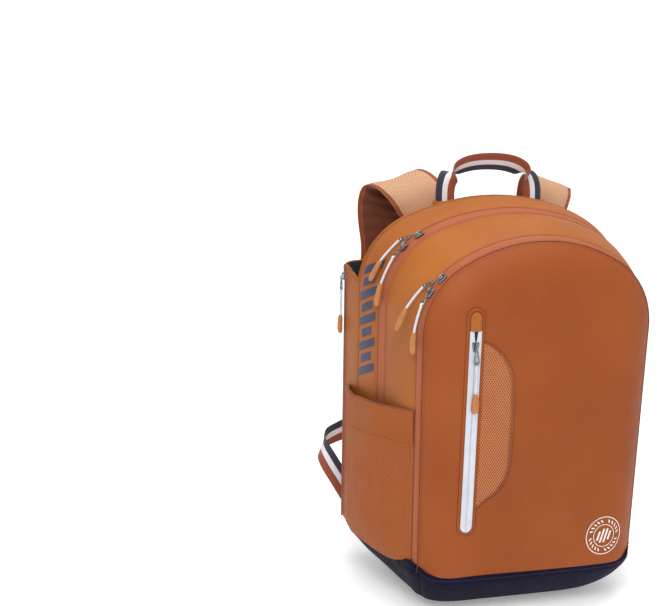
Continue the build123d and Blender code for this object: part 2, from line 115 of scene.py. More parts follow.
# ------------------------------------------------------------------ mesh helpers
COL = bpy.context.scene.collection
def mesh_obj(name, V, F, mats=(), uv=None, smooth=True, fmat=None):
    me = bpy.data.meshes.new(name)
    me.from_pydata([tuple(v) for v in (np.asarray(V, float) * MM)], [], F)
    me.validate(); me.update()
    if smooth:
        me.polygons.foreach_set("use_smooth", [True] * len(me.polygons))
    o = bpy.data.objects.new(name, me)
    COL.objects.link(o)
    for m in mats:
        me.materials.append(m)
    if fmat is not None:
        me.polygons.foreach_set("material_index", [int(i) for i in fmat])
    if uv is not None:
        lay = me.uv_layers.new(name="UVMap")
        uv = np.asarray(uv, float)
        li = np.zeros(len(me.loops), int); me.loops.foreach_get("vertex_index", li)
        lay.data.foreach_set("uv", uv[li].ravel())
    return o

def grid_faces(r, c, cu=False, cv=False, flip=False):
    """r rows by c columns; cu closes columns, cv closes rows."""
    F = []
    for i in range(r if cv else r - 1):
        i2 = (i + 1) % r
        for j in range(c if cu else c - 1):
            j2 = (j + 1) % c
            q = (i * c + j, i * c + j2, i2 * c + j2, i2 * c + j)
            F.append(q[::-1] if flip else q)
    return F

def grid_obj(name, P, mats, cu=False, cv=False, flip=False, solid=None, sub=0, uv=None, offset=-1.0, rim=True, mo=0, weld=False):
    P = np.asarray(P, float); r, c = P.shape[:2]
    o = mesh_obj(name, P.reshape(-1, 3), grid_faces(r, c, cu, cv, flip), mats, None if uv is None else np.asarray(uv).reshape(-1, 2))
    if weld:
        bm = bmesh.new(); bm.from_mesh(o.data); bmesh.ops.remove_doubles(bm, verts=bm.verts, dist=2e-5); bm.to_mesh(o.data); bm.free()
    if solid:
        m = o.modifiers.new("thickness", "SOLIDIFY"); m.thickness = solid * MM; m.offset = offset; m.use_rim = rim
        m.use_even_offset = False; m.material_offset = mo; m.material_offset_rim = 0
    if sub:
        s = o.modifiers.new("smooth", "SUBSURF"); s.levels = s.render_levels = sub
    return o

def apply_mods(o):
    dg = bpy.context.evaluated_depsgraph_get()
    me = bpy.data.meshes.new_from_object(o.evaluated_get(dg), depsgraph=dg)
    o.modifiers.clear()
    old = o.data; o.data = me
    bpy.data.meshes.remove(old)
    return o

def join(name, objs):
    """One object out of several, keeping each one's materials."""
    bm_v, faces, fm, mats, uvs, anyuv, smooths = [], [], [], [], [], False, []
    base = 0
    dg = bpy.context.evaluated_depsgraph_get()
    for o in objs:
        e = o.evaluated_get(dg); me = bpy.data.meshes.new_from_object(e, depsgraph=dg)
        co = np.zeros(len(me.vertices) * 3); me.vertices.foreach_get("co", co); bm_v.append(co.reshape(-1, 3))
        mp = []
        for m in o.data.materials:
            if m not in mats: mats.append(m)
            mp.append(mats.index(m))
        for p in me.polygons:
            faces.append([v + base for v in p.vertices]); fm.append(mp[p.material_index] if mp else 0); smooths.append(p.use_smooth)
        base += len(me.vertices)
        bpy.data.meshes.remove(me)
    for o in objs:
        d = o.data; bpy.data.objects.remove(o)
        if isinstance(d, bpy.types.Mesh): bpy.data.meshes.remove(d)
        elif isinstance(d, bpy.types.Curve): bpy.data.curves.remove(d)
    o = mesh_obj(name, np.concatenate(bm_v) / MM, faces, mats, None, False, fm)
    o.data.polygons.foreach_set("use_smooth", smooths)
    return o

def frames_along(P, up_hint=None, closed=False):
    """Tangents of polyline P."""
    P = np.asarray(P, float)
    if closed:
        T = np.roll(P, -1, 0) - np.roll(P, 1, 0)
    else:
        T = np.gradient(P, axis=0)
    return T / np.maximum(np.linalg.norm(T, axis=1, keepdims=True), 1e-9)

def resample(P, n, *others, closed=False):
    P = np.asarray(P, float)
    if closed: P = np.vstack([P, P[:1]]); others = [np.vstack([o, o[:1]]) for o in others]
    d = np.r_[0, np.cumsum(np.linalg.norm(np.diff(P, axis=0), axis=1))]
    t = np.linspace(0, d[-1], n + (1 if closed else 0))
    if closed: t = t[:-1]
    out = [np.stack([np.interp(t, d, P[:, k]) for k in range(3)], -1)]
    for o in others:
        o = np.asarray(o, float)
        out.append(np.stack([np.interp(t, d, o[:, k]) for k in range(o.shape[1])], -1))
    return out if others else out[0]

def catmull(P, m=8):
    """Smooth curve through points."""
    P = np.asarray(P, float)
    Q = np.vstack([2 * P[0] - P[1], P, 2 * P[-1] - P[-2]])
    out = []
    for i in range(1, len(Q) - 2):
        p0, p1, p2, p3 = Q[i - 1:i + 3]
        for k in range(m):
            t = k / m
            out.append(0.5 * ((2 * p1) + (-p0 + p2) * t + (2 * p0 - 5 * p1 + 4 * p2 - p3) * t * t + (-p0 + 3 * p1 - 3 * p2 + p3) * t ** 3))
    out.append(P[-1])
    return np.array(out)

def sweep_section(name, P, W, N, sec, mats, closed=False, uv=False, fmat=None, caps=True):
    """Sweeps a closed section [(a along W, b along N)] along P."""
    P, W, N = (np.asarray(v, float) for v in (P, W, N))
    sec = np.asarray(sec, float)
    if sec.ndim == 2: sec = np.repeat(sec[None], len(P), 0)
    G = P[:, None] + W[:, None] * sec[..., 0:1] + N[:, None] * sec[..., 1:2]
    r, c = G.shape[:2]
    F = grid_faces(r, c, True, closed, flip=True)
    if caps and not closed:
        F.append(list(range(c))[::1]); F.append([(r - 1) * c + j for j in range(c)][::-1])
    return mesh_obj(name, G.reshape(-1, 3), F, mats)

def ribbon(name, P, W, width, thick, mats, n=None, cols=9, closed=False, edge=0.5, uv_len=None, puff=0.0):
    """Webbing: flat strip with rounded edges and UV (length mm, width -0.5..0.5)."""
    P = np.asarray(P, float); W = np.asarray(W, float)
    T = frames_along(P, closed=closed)
    W = W - T * np.sum(W * T, 1, keepdims=True); W /= np.linalg.norm(W, axis=1, keepdims=True)
    N = np.cross(T, W)
    a = np.linspace(-0.5, 0.5, cols)
    h = thick / 2 * np.sqrt(np.maximum(0, 1 - (np.abs(a) * 2) ** 10)) + 1e-3
    h = h + puff * (1 - (2 * a) ** 2)
    A = np.r_[a * width, a[::-1] * width]; B = np.r_[h, -h[::-1]]
    U = np.r_[a, a[::-1]]
    G = P[:, None] + W[:, None] * A[None, :, None] + N[:, None] * B[None, :, None]
    r, c = G.shape[:2]
    L = np.r_[0, np.cumsum(np.linalg.norm(np.diff(P, axis=0), axis=1))]
    UV = np.stack([np.repeat(L[:, None], c, 1) / 10.0, np.repeat(U[None], r, 0) + 0.5], -1)
    F = grid_faces(r, c, True, closed)
    if not closed:
        F.append(list(range(c))[::-1]); F.append([(r - 1) * c + j for j in range(c)])
    return mesh_obj(name, G.reshape(-1, 3), F, mats, UV.reshape(-1, 2))

def tube_mesh(name, P, r, mats, sides=8, closed=False, rad=None):
    P = np.asarray(P, float)
    T = frames_along(P, closed=closed)
    ref = np.array([0.123, 0.456, 0.881])
    N = []
    n = np.cross(T[0], ref); n /= np.linalg.norm(n)
    for t in T:
        n = n - t * (n @ t); n /= np.linalg.norm(n); N.append(n)
    N = np.array(N); B = np.cross(T, N)
    if closed:  # spread the leftover twist
        ang = math.atan2(np.dot(np.cross(N[-1], N[0]), T[0]), np.dot(N[-1], N[0]))
        k = np.linspace(0, 1, len(P))[:, None] * ang
        N, B = N * np.cos(k) + B * np.sin(k), B * np.cos(k) - N * np.sin(k)
    a = np.linspace(0, 2 * math.pi, sides, endpoint=False)
    R = np.full(len(P), r) if rad is None else np.asarray(rad)
    G = P[:, None] + (N[:, None] * np.cos(a)[None, :, None] + B[:, None] * np.sin(a)[None, :, None]) * R[:, None, None]
    F = grid_faces(len(P), sides, True, closed)
    if not closed:
        F.append(list(range(sides))[::-1]); F.append([(len(P) - 1) * sides + j for j in range(sides)])
    return mesh_obj(name, G.reshape(-1, 3), F, mats)

def stitches(name, P, N, mat, pitch=3.6, length=2.5, rad=0.38, sink=0.1, dash=True):
    """Row of thread stitches along polyline P lying on a surface with normals N."""
    P, N = np.asarray(P, float), np.asarray(N, float)
    L = np.r_[0, np.cumsum(np.linalg.norm(np.diff(P, axis=0), axis=1))]
    cnt = max(2, int(L[-1] / pitch))
    mids = (np.arange(cnt) + 0.5) * L[-1] / cnt
    V, F = [], []
    prof = [(-0.5, 0.0, -0.15), (-0.36, 0.75, 0.45), (0.0, 1.0, 1.0), (0.36, 0.75, 0.45), (0.5, 0.0, -0.15)]
    for m in mids:
        def at(t):
            return np.array([np.interp(t, L, P[:, k]) for k in range(3)])
        c = at(m); t = at(m + 0.5) - at(m - 0.5); t /= max(np.linalg.norm(t), 1e-9)
        n = np.array([np.interp(m, L, N[:, k]) for k in range(3)]); n = n - t * (n @ t); n /= max(np.linalg.norm(n), 1e-9)
        w = np.cross(t, n)
        b = len(V)
        V.append(c + t * (-0.5 * length) - n * 0.25)
        for a, k, h in prof[1:4]:
            q = c + t * (a * length)
            V += [q + w * rad * k - n * 0.2, q + w * rad * k * 0.7 + n * (rad * h - sink + 0.12), q - w * rad * k * 0.7 + n * (rad * h - sink + 0.12), q - w * rad * k - n * 0.2]
        V.append(c + t * (0.5 * length) - n * 0.25)
        e = b + 13
        F += [(b, b + 2, b + 1), (b, b + 3, b + 2), (b, b + 4, b + 3), (b, b + 1, b + 4)]
        for s in (0, 4):
            r0, r1 = b + 1 + s, b + 5 + s
            for j in range(4):
                F.append((r0 + j, r0 + (j + 1) % 4, r1 + (j + 1) % 4, r1 + j))
        r1 = b + 9
        F += [(e, r1, r1 + 1), (e, r1 + 1, r1 + 2), (e, r1 + 2, r1 + 3), (e, r1 + 3, r1)]
    return mesh_obj(name, V, F, [mat])

# ------------------------------------------------------------------ materials
def srgb(r, g, b):
    f = lambda c: c / 255 / 12.92 if c / 255 <= 0.04045 else ((c / 255 + 0.055) / 1.055) ** 2.4
    return (f(r), f(g), f(b), 1.0)

class NT_:
    def __init__(self, name):
        self.m = bpy.data.materials.new(name); self.m.use_nodes = True
        self.t = self.m.node_tree; self.t.nodes.clear()
        self.out = self.t.nodes.new("ShaderNodeOutputMaterial")
        self.b = self.t.nodes.new("ShaderNodeBsdfPrincipled")
        self.t.links.new(self.b.outputs[0], self.out.inputs[0])
        self.co = self.t.nodes.new("ShaderNodeTexCoord")
    def n(self, kind, **kw):
        x = self.t.nodes.new("ShaderNode" + kind)
        for k, v in kw.items(): setattr(x, k, v)
        return x
    def l(self, a, b): self.t.links.new(a, b)
    def noise(self, scale, detail=4.0, rough=0.55, src=None, dist=0.0):
        x = self.n("TexNoise"); x.inputs["Scale"].default_value = scale; x.inputs["Detail"].default_value = detail
        x.inputs["Roughness"].default_value = rough; x.inputs["Distortion"].default_value = dist
        self.l(src or self.co.outputs["Object"], x.inputs["Vector"]); return x.outputs["Fac"]
    def ramp(self, fac, stops):
        x = self.n("ValToRGB"); e = x.color_ramp.elements
        while len(e) < len(stops): e.new(0.5)
        for s, (p, c) in zip(e, stops): s.position = p; s.color = c if len(c) == 4 else (*c, 1)
        self.l(fac, x.inputs[0]); return x.outputs[0]
    def math(self, op, a, b=None, c=None, clamp=False):
        x = self.n("Math", operation=op, use_clamp=clamp)
        for i, v in enumerate((a, b, c)):
            if v is None: continue
            if isinstance(v, (int, float)): x.inputs[i].default_value = v
            else: self.l(v, x.inputs[i])
        return x.outputs[0]
    def mix(self, fac, a, b, blend="MIX"):
        x = self.n("Mix", data_type="RGBA", blend_type=blend)
        for i, v in ((0, fac), (6, a), (7, b)):
            if isinstance(v, (int, float)): x.inputs[i].default_value = v
            elif isinstance(v, tuple): x.inputs[i].default_value = v
            else: self.l(v, x.inputs[i])
        return x.outputs[2]
    def bump(self, h, strength=0.3, dist=0.0005, prev=None):
        x = self.n("Bump"); x.inputs["Strength"].default_value = strength; x.inputs["Distance"].default_value = dist
        self.l(h, x.inputs["Height"])
        if prev is not None: self.l(prev, x.inputs["Normal"])
        return x.outputs[0]
    def sep(self, src=None):
        x = self.n("SeparateXYZ"); self.l(src or self.co.outputs["Object"], x.inputs[0]); return x.outputs
    def set(self, **kw):
        for k, v in kw.items():
            s = self.b.inputs[k.replace("_", " ")]
            if hasattr(v, "node"): self.l(v, s)
            else: s.default_value = v
        return self

def coated(name, col, dark, light, rough=0.5, grain=1500, bump=0.12, sheen=0.15, coat=0.0, spec=0.42):
    """Smooth coated fabric with a fine grain, slight patchiness and scuffs."""
    g = NT_(name)
    big = g.noise(7.0, 3, 0.5); mid = g.noise(55.0, 4, 0.6)
    c = g.ramp(big, [(0.3, dark), (0.5, col), (0.72, light)])
    c = g.mix(0.14, c, g.ramp(mid, [(0.35, dark), (0.65, light)]), "OVERLAY")
    # fine plain weave under the coating
    s = g.sep()
    k = 2 * math.pi / 0.0011
    wx = g.math("SINE", g.math("MULTIPLY", g.math("ADD", s[0], g.math("MULTIPLY", s[1], 0.93)), k))
    wz = g.math("SINE", g.math("MULTIPLY", s[2], k))
    weave = g.math("MULTIPLY", wx, wz)
    fine = g.noise(grain, 2, 0.7)
    h = g.math("ADD", g.math("MULTIPLY", weave, 0.18), g.math("MULTIPLY", fine, 1.0))
    h2 = g.math("ADD", h, g.math("MULTIPLY", mid, 0.8))
    g.set(Base_Color=c, Normal=g.bump(h2, bump, 0.0004))
    r = g.ramp(g.noise(130.0, 3, 0.6), [(0.3, (rough - 0.06,) * 3), (0.7, (rough + 0.08,) * 3)])
    g.set(Roughness=r)
    g.b.inputs["Sheen Weight"].default_value = sheen; g.b.inputs["Sheen Roughness"].default_value = 0.4
    g.b.inputs["Coat Weight"].default_value = coat; g.b.inputs["Coat Roughness"].default_value = 0.35
    g.b.inputs["Specular IOR Level"].default_value = spec
    return g.m

def net(name, dark, mid, light, pitch=0.0026, axes=(1, 2), ratio=0.62, hole=0.5, bump=0.8, rough=0.62, lean=0.0):
    """Open diamond net: two crossing sets of slanted threads; the gaps take a painted shade and the thread crests a
    painted highlight.
    """
    g = NT_(name)
    s = g.sep()
    a, b = s[axes[0]], s[axes[1]]
    wv = g.noise(40.0, 2, 0.5)
    a = g.math("ADD", a, g.math("MULTIPLY", wv, 0.0012))
    k = 2 * math.pi / pitch
    u = g.math("MULTIPLY", g.math("ADD", g.math("MULTIPLY", a, 1.0 + lean), g.math("MULTIPLY", b, ratio)), k)
    v = g.math("MULTIPLY", g.math("SUBTRACT", g.math("MULTIPLY", a, 1.0 - lean), g.math("MULTIPLY", b, ratio)), k)
    su, sv = g.math("SINE", u), g.math("SINE", v)
    m = g.math("MAXIMUM", su, sv)
    f = g.math("MULTIPLY_ADD", m, 0.5, 0.5)
    pat = g.noise(20.0, 3, 0.6)
    # the dark tone in the gaps is painted shade, the light tone on the thread crests is a painted highlight, the mid
    # tone is the yarn
    c = g.ramp(f, [(0.18, dark), (hole, mid), (0.93, light)])
    c = g.mix(g.math("MULTIPLY", pat, 0.35), c, mid)
    g.set(Base_Color=c, Normal=g.bump(f, bump, 0.0006), Roughness=g.ramp(f, [(0.1, (rough + 0.15,) * 3), (0.9, (rough,) * 3)]))
    g.b.inputs["Sheen Weight"].default_value = 0.02; g.b.inputs["Specular IOR Level"].default_value = 0.15
    return g.m

def tape(name, col, dark, axis=2, pitch=0.0013, rough=0.6):
    """Woven zip tape: fine ribs across the run."""
    g = NT_(name)
    s = g.sep()
    k = 2 * math.pi / pitch
    w = g.math("SINE", g.math("MULTIPLY", s[1], k)); w2 = g.math("SINE", g.math("MULTIPLY", g.math("ADD", s[2], s[0]), k * 0.8))
    f = g.math("MULTIPLY_ADD", g.math("MULTIPLY", w, w2), 0.5, 0.5)
    c = g.mix(g.ramp(g.noise(30.0, 3), [(0.3, (0, 0, 0)), (0.7, (0.6, 0.6, 0.6))]), col, g.mix(f, dark, col))
    g.set(Base_Color=c, Roughness=g.ramp(f, [(0, (rough + 0.1,) * 3), (1, (rough - 0.06,) * 3)]), Normal=g.bump(f, 0.5, 0.0004))
    g.b.inputs["Sheen Weight"].default_value = 0.03; g.b.inputs["Specular IOR Level"].default_value = 0.2
    return g.m

def webbing(name, stripes, rough=0.66):
    """Woven webbing striped along its length: UV y runs across the width, UV x along it in centimetres."""
    g = NT_(name)
    s = g.sep(g.co.outputs["UV"])
    wv = g.math("SINE", g.math("MULTIPLY", s[0], 2 * math.pi * 4.5))
    wu = g.math("SINE", g.math("MULTIPLY", s[1], 2 * math.pi * 13))
    f = g.math("MULTIPLY_ADD", g.math("MULTIPLY", wv, wu), 0.5, 0.5)
    edge = g.math("ADD", s[1], g.math("MULTIPLY", wv, 0.008))
    r = g.n("ValToRGB"); r.color_ramp.interpolation = "CONSTANT"; e = r.color_ramp.elements
    while len(e) < len(stripes): e.new(0.5)
    for q, (p, c) in zip(e, stripes): q.position = p; q.color = c
    g.l(edge, r.inputs[0])
    c = g.mix(g.math("MULTIPLY", g.math("SUBTRACT", 1.0, f), 0.45), r.outputs[0], g.mix(0.55, r.outputs[0], (0.02, 0.015, 0.02, 1)))
    c = g.mix(0.10, c, g.ramp(g.noise(90.0, 3), [(0.3, (0.25, 0.25, 0.25)), (0.7, (0.9, 0.9, 0.9))]), "OVERLAY")
    g.set(Base_Color=c, Roughness=g.ramp(f, [(0, (rough + 0.12,) * 3), (1, (rough - 0.05,) * 3)]), Normal=g.bump(f, 0.7, 0.0005))
    g.b.inputs["Sheen Weight"].default_value = 0.2
    return g.m

def metal(name, col=(0.25, 0.25, 0.265, 1), rough=0.2):
    g = NT_(name)
    n1 = g.noise(260.0, 3, 0.6); n2 = g.noise(1400.0, 2, 0.6)
    g.set(Base_Color=g.ramp(n1, [(0.3, tuple(c * 0.82 for c in col[:3])), (0.7, col)]), Metallic=1.0,
          Roughness=g.ramp(n1, [(0.3, (rough - 0.05,) * 3), (0.75, (rough + 0.14,) * 3)]), Normal=g.bump(n2, 0.08, 0.0002))
    return g.m

def braid(name, col, dark):
    g = NT_(name)
    s = g.sep()
    k = 2 * math.pi / 0.0016
    a = g.math("SINE", g.math("MULTIPLY", g.math("ADD", s[2], g.math("ADD", s[0], s[1])), k))
    b = g.math("SINE", g.math("MULTIPLY", g.math("SUBTRACT", s[2], g.math("ADD", s[0], s[1])), k))
    f = g.math("MULTIPLY_ADD", g.math("MULTIPLY", a, b), 0.5, 0.5)
    g.set(Base_Color=g.mix(f, dark, col), Roughness=g.ramp(f, [(0, (0.7,) * 3), (1, (0.5,) * 3)]), Normal=g.bump(f, 0.6, 0.0004))
    g.b.inputs["Sheen Weight"].default_value = 0.1
    return g.m

def rubbery(name, col, dark, rough=0.42):
    g = NT_(name)
    n1 = g.noise(120.0, 3, 0.6); n2 = g.noise(2200.0, 2, 0.6)
    g.set(Base_Color=g.ramp(n1, [(0.3, dark), (0.65, col)]), Roughness=g.ramp(n1, [(0.3, (rough - 0.06,) * 3), (0.7, (rough + 0.1,) * 3)]), Normal=g.bump(n2, 0.15, 0.0002))
    g.b.inputs["Specular IOR Level"].default_value = 0.45
    return g.m

CLAY = coated("clay_coated", srgb(147, 76, 32), srgb(139, 70, 28), srgb(154, 82, 36), rough=0.52, sheen=0.0, spec=0.17)
OCHRE = coated("ochre_coated", srgb(161, 95, 38), srgb(152, 87, 33), srgb(169, 103, 44), rough=0.54, sheen=0.0, spec=0.2)
NAVY = coated("navy_coated", srgb(20, 17, 40), srgb(15, 13, 31), srgb(26, 23, 49), rough=0.6, grain=1100, bump=0.18, sheen=0.0, spec=0.06)
BLACK = coated("lining_black", srgb(28, 30, 34), srgb(20, 22, 26), srgb(38, 40, 45), rough=0.7, grain=1700, bump=0.25, sheen=0.2, spec=0.25)
# strap inner face: a darker copy of the clay fabric for the strap face seen behind the pack, which is painted shade
STRAP_SHADED_CLAY = coated("strap_inner_painted_shade", srgb(104, 54, 34), srgb(90, 45, 28), srgb(118, 63, 40), rough=0.66, grain=900, bump=0.4, sheen=0.25, spec=0.25)
BIND = coated("binding_clay", srgb(142, 74, 38), srgb(128, 64, 32), srgb(154, 84, 46), rough=0.6, grain=1300, bump=0.3, sheen=0.2, spec=0.3)
# each net's first colour is painted shade in its gaps, its last colour a painted highlight on the thread crests
NET = net("net_clay", srgb(96, 36, 10), srgb(130, 56, 18), srgb(176, 100, 46), pitch=0.0031, hole=0.45)
NETX = net("net_vent", srgb(96, 42, 20), srgb(130, 64, 32), srgb(200, 130, 86), pitch=0.0030, axes=(0, 2), hole=0.5)
AIR = net("air_mesh", srgb(144, 98, 70), srgb(178, 133, 101), srgb(203, 161, 130), pitch=0.0030, axes=(0, 2), ratio=1.0, hole=0.35, bump=0.6, rough=0.75)
TAPE = tape("tape_peach", srgb(166, 92, 58), srgb(138, 68, 38))
TAPEW = tape("tape_white", srgb(204, 208, 218), srgb(168, 174, 190), rough=0.32)
WEB = webbing("webbing_striped", [(0.0, srgb(34, 32, 56)), (0.33, srgb(232, 233, 240)), (0.60, srgb(146, 66, 36))])
METAL = metal("zip_metal")
CORD = braid("cord_white", srgb(224, 226, 232), srgb(172, 176, 188))
GRIP = rubbery("grip_tan", srgb(180, 116, 58), srgb(164, 100, 48))
PLAST = rubbery("buckle_black", srgb(34, 35, 38), srgb(24, 25, 28), 0.38)
THREAD = rubbery("thread_clay", srgb(160, 84, 48), srgb(138, 66, 36), 0.6)
THREADD = rubbery("thread_dark", srgb(108, 50, 30), srgb(88, 40, 24), 0.6)
THREADN = rubbery("thread_navy", srgb(64, 60, 84), srgb(50, 47, 68), 0.6)
INK = coated("print_navy", srgb(52, 56, 84), srgb(44, 47, 72), srgb(62, 66, 94), rough=0.5, bump=0.1, sheen=0.0)
INKW = coated("print_white", srgb(226, 218, 212), srgb(210, 200, 192), srgb(238, 232, 228), rough=0.5, bump=0.1, sheen=0.0)

LINEN = coated("lining_weave", srgb(40, 42, 47), srgb(30, 32, 36), srgb(52, 54, 60), rough=0.75, grain=1700, bump=0.3, sheen=0.3, spec=0.2)

def put(o, body, *nodes, slot=None):
    if body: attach(o, body)
    if nodes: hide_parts(*nodes)
    return o

def on_surface_normals(P):
    """Normals of a point grid (rows, cols, 3)."""
    a = np.gradient(P, axis=0); b = np.gradient(P, axis=1)
    n = np.cross(b, a)
    return n / np.maximum(np.linalg.norm(n, axis=-1, keepdims=True), 1e-9)

# ------------------------------------------------------------------ the pack's bands
def rows(y0, y1, n_mid=7):
    t = np.r_[0, .02, .07, np.linspace(.16, .84, n_mid), .93, .98, 1]
    return y0 + (y1 - y0) * t, t

BANDS = {}
def band_off(key, P, y):
    y0, y1, puff, pinch, wr, wave, seed = BANDS[key]
    t = np.clip((y - y0) / (y1 - y0), 0, 1)
    u = np.abs(2 * t - 1)
    # more slack low down at the sides, tight over the top
    slack = np.clip((420 - P[..., 2]) / 200, 0.35, 1.0)
    return -pinch + (puff + pinch) * (1 - u ** 3) + wr * slack * wob(P, wave, seed) * (1 - u ** 4)

def band_grid(key, ys, zb=BOOT_H, extra=0.0):
    P = []
    for y in ys:
        X, Z, NX, NZ = arch(y, 0, zb)
        A = np.stack([X, np.full_like(X, y), Z], -1); N = np.stack([NX, 0 * NX, NZ], -1)
        P.append(A + N * (band_off(key, A, y) + extra)[:, None])
    return np.array(P)

def gusset_pt(key, y, L, off=0.0):
    """Point and normal on a band's left side, L mm along its outline up from the boot line."""
    X, Z, NX, NZ = arch(y)
    d = np.r_[0, np.cumsum(np.hypot(np.diff(X), np.diff(Z)))]
    x, z, nx, nz = (np.interp(L, d, v) for v in (X, Z, NX, NZ))
    p = np.array([x, y, z]); n = np.array([nx, 0, nz])
    o = float(band_off(key, p[None], y)[0])
    return p + n * (o + off), n

def col_line(ys, s_idx, key, off):
    pts, ns = [], []
    return pts, ns

def edge_line(key, y, off=0.0, i0=0, i1=None):
    """Line along the outline at depth y with its normals."""
    X, Z, NX, NZ = arch(y)
    A = np.stack([X, np.full_like(X, y), Z], -1); N = np.stack([NX, 0 * NX, NZ], -1)
    o = band_off(key, A, y) if key else 0.0
    A = A + N * (np.asarray(o) + off)[..., None] if key else A + N * off
    return A[i0:i1], N[i0:i1]

def _sunk_outline():
    """Height of the dip as radius against angle round the shoulder's centre."""
    hw, zt, zc, r1_ = knot(102.0)
    cx = -(hw - r1_)
    poly = np.array([(-hw + 0.3, zc + 14), (-170.2, 381), (-171.0, 387.5), (-167.5, 390.3), (-160, 391.3), (-142, 392.6), (-133, 398.5), (-120, 412.5), (-108, 427), (-99, 438.5), (-90, 446.5)])
    q = resample(np.stack([poly[:, 0], 0 * poly[:, 0], poly[:, 1]], -1), 160)
    an = np.degrees(np.arctan2(q[:, 2] - zc, -(q[:, 0] - cx))); ra = np.hypot(q[:, 0] - cx, q[:, 2] - zc)
    o = np.argsort(an); an, ra = an[o], ra[o]
    an = np.r_[0.0, an, 86, 90]; ra = np.r_[r1_, ra, r1_, r1_]
    for _ in range(2): ra[1:-1] = (ra[:-2] + 2 * ra[1:-1] + ra[2:]) / 4
    return an, ra / r1_
SUNK = _sunk_outline()
def sink(P, y):
    """The left shoulder behind the rear gusset dips where the racket handles come out."""
    P = np.array(P, float)
    yk = np.clip((np.asarray(y, float) - 56) / 12.0, 0, 1); yk = yk * yk * (3 - 2 * yk)
    hw, zt, zc, r1_ = knot(float(np.clip(np.mean(y), 52.5, 112)))
    cx, cz = -(hw - r1_), zc
    dx, dz = P[..., 0] - cx, P[..., 2] - cz
    m = (dx < 0) & (dz > 0)
    ang = np.degrees(np.arctan2(np.maximum(dz, 0), np.maximum(-dx, 1e-6)))
    k = np.where(m, yk * (np.interp(ang, *SUNK) - 1), 0)
    P[..., 0] = cx + dx * (1 + k); P[..., 2] = cz + dz * (1 + k)
    return P
BANDS["front_gusset"] = (-85.5, -16.5, 2.4, 0.35, 0.55, 95.0, 1)
BANDS["rear_gusset"] = (3.0, 50.5, 2.0, 0.35, 0.5, 90.0, 2)
BANDS["shell"] = (52.5, 106.0, 1.6, 0.5, 0.6, 80.0, 3)
BANDS["front_tape"] = (-99.0, -88.0, 0.0, 0.6, 0.12, 60.0, 4)
BANDS["main_tape"] = (-12.0, -1.0, 0.0, 0.6, 0.12, 60.0, 4)

for key, y0, y1, nm in (("front_gusset", -85.8, -16.2, 9), ("rear_gusset", 2.7, 50.5, 7)):
    ys, _ = rows(y0, y1, nm)
    o = grid_obj(key + "_cloth", band_grid(key, ys), [OCHRE, BLACK], solid=3.0, sub=1, mo=1)
    put(o, "pack", key, slot="gusset_fabric_ochre")

def zip_band(name, key, y0, y1, node, yg):
    """Two woven tapes either side of a covered coil: raised edges, a groove down the middle."""
    w = y1 - y0; tg_ = (yg - y0) / w
    prof = [(0, -0.4), (.03, .25), (.10, .55), (.22, .5), (.36, .45), (.44, .35), (.485, -.25), (.5, -.55), (.515, -.25), (.56, .35), (.64, .45), (.78, .5), (.90, .55), (.97, .25), (1, -.4)]
    P = []
    for t, h in prof:
        t = t * tg_ / 0.5 if t < 0.5 else tg_ + (t - 0.5) * (1 - tg_) / 0.5
        A, N = edge_line(key, y0 + w * t)
        P.append(A + N * (h - 0.0))
    o = grid_obj(name, np.array(P), [TAPE, BLACK], solid=2.2, sub=1, mo=1)
    objs = [o]
    for t in (.12, .88):
        A, N = edge_line(key, y0 + w * t, 0.75)
        objs.append(stitches(name + "_st", A, N, THREAD, pitch=3.2, length=2.3, rad=0.26))
    q = join(name, objs)
    put(q, "pack", node, slot="zip_tape_peach")
zip_band("front_zip_band", "front_tape", -99.2, -85.2, "front_zip_tape", -93.5)
zip_band("main_zip_band", "main_tape", -16.6, 3.2, "main_zip_tape", -6.5)

# stitch rows and seam cords beside the zips and along the gusset seams
seams = []
for key, y, mat, r in (("front_gusset", -85.3, THREAD, 0.45), ("front_gusset", -16.6, THREAD, 0.45), ("rear_gusset", 3.2, THREAD, 0.45), ("rear_gusset", 51.2, OCHRE, 1.0)):
    A, N = edge_line(key, y, 0.0)
    seams.append(tube_mesh("seam", A[::2], r, [mat], sides=5))
for key, y in (("front_gusset", -83.0), ("front_gusset", -19.0), ("rear_gusset", 5.6), ("rear_gusset", 47.6)):
    A, N = edge_line(key, y, 0.0)
    seams.append(stitches("st", A, N, THREAD, pitch=3.3, length=2.4, rad=0.28))
put(join("gusset_seams", seams), "pack", slot="patch_clay")

# ------------------------------------------------------------------ racket compartment's shell with its mouth
ys = np.r_[52.5, 53.2, 55.0, 57.5, 60, 64, 69, 75, 81, 87, 92, 96, 99.5, 102, 104.2, 105.4, 106.0]
P = band_grid("shell", ys)
for i, y in enumerate(ys): P[i] = sink(P[i], y)
r, c = P.shape[:2]
def ang_of(q, y):
    hw, zt, zc, r1_ = knot(y)
    return math.degrees(math.atan2(q[2] - zc, -(q[0] + (hw - r1_))))
A0 = lambda y: float(np.interp(y, [55, 60, 70, 85, 99.5, 102], [4.5, 7.0, 11.5, 16.5, 20.5, 21.5]))
r0, r1 = list(ys).index(55.0), list(ys).index(102)
F, rim_lo, rim_hi = [], {}, {}
for i in range(r - 1):
    for j in range(c - 1):
        q = (P[i, j] + P[i, j + 1] + P[i + 1, j] + P[i + 1, j + 1]) / 4
        ym = q[1]
        an_ = ang_of(q, ym) if q[0] < -60 else -1
        if r0 <= i < r1 and q[0] < -60 and A0(ym) < an_ < 79: continue
        F.append((i * c + j, i * c + j + 1, (i + 1) * c + j + 1, (i + 1) * c + j))
o = mesh_obj("racket_shell_cloth", P.reshape(-1, 3), F, [OCHRE, BLACK])
m = o.modifiers.new("thickness", "SOLIDIFY"); m.thickness = 3.0 * MM; m.offset = -1; m.material_offset = 1; m.material_offset_rim = 1; m.use_even_offset = False
s_ = o.modifiers.new("smooth", "SUBSURF"); s_.levels = s_.render_levels = 1
put(o, "pack", "racket_shell", slot="gusset_fabric_ochre")
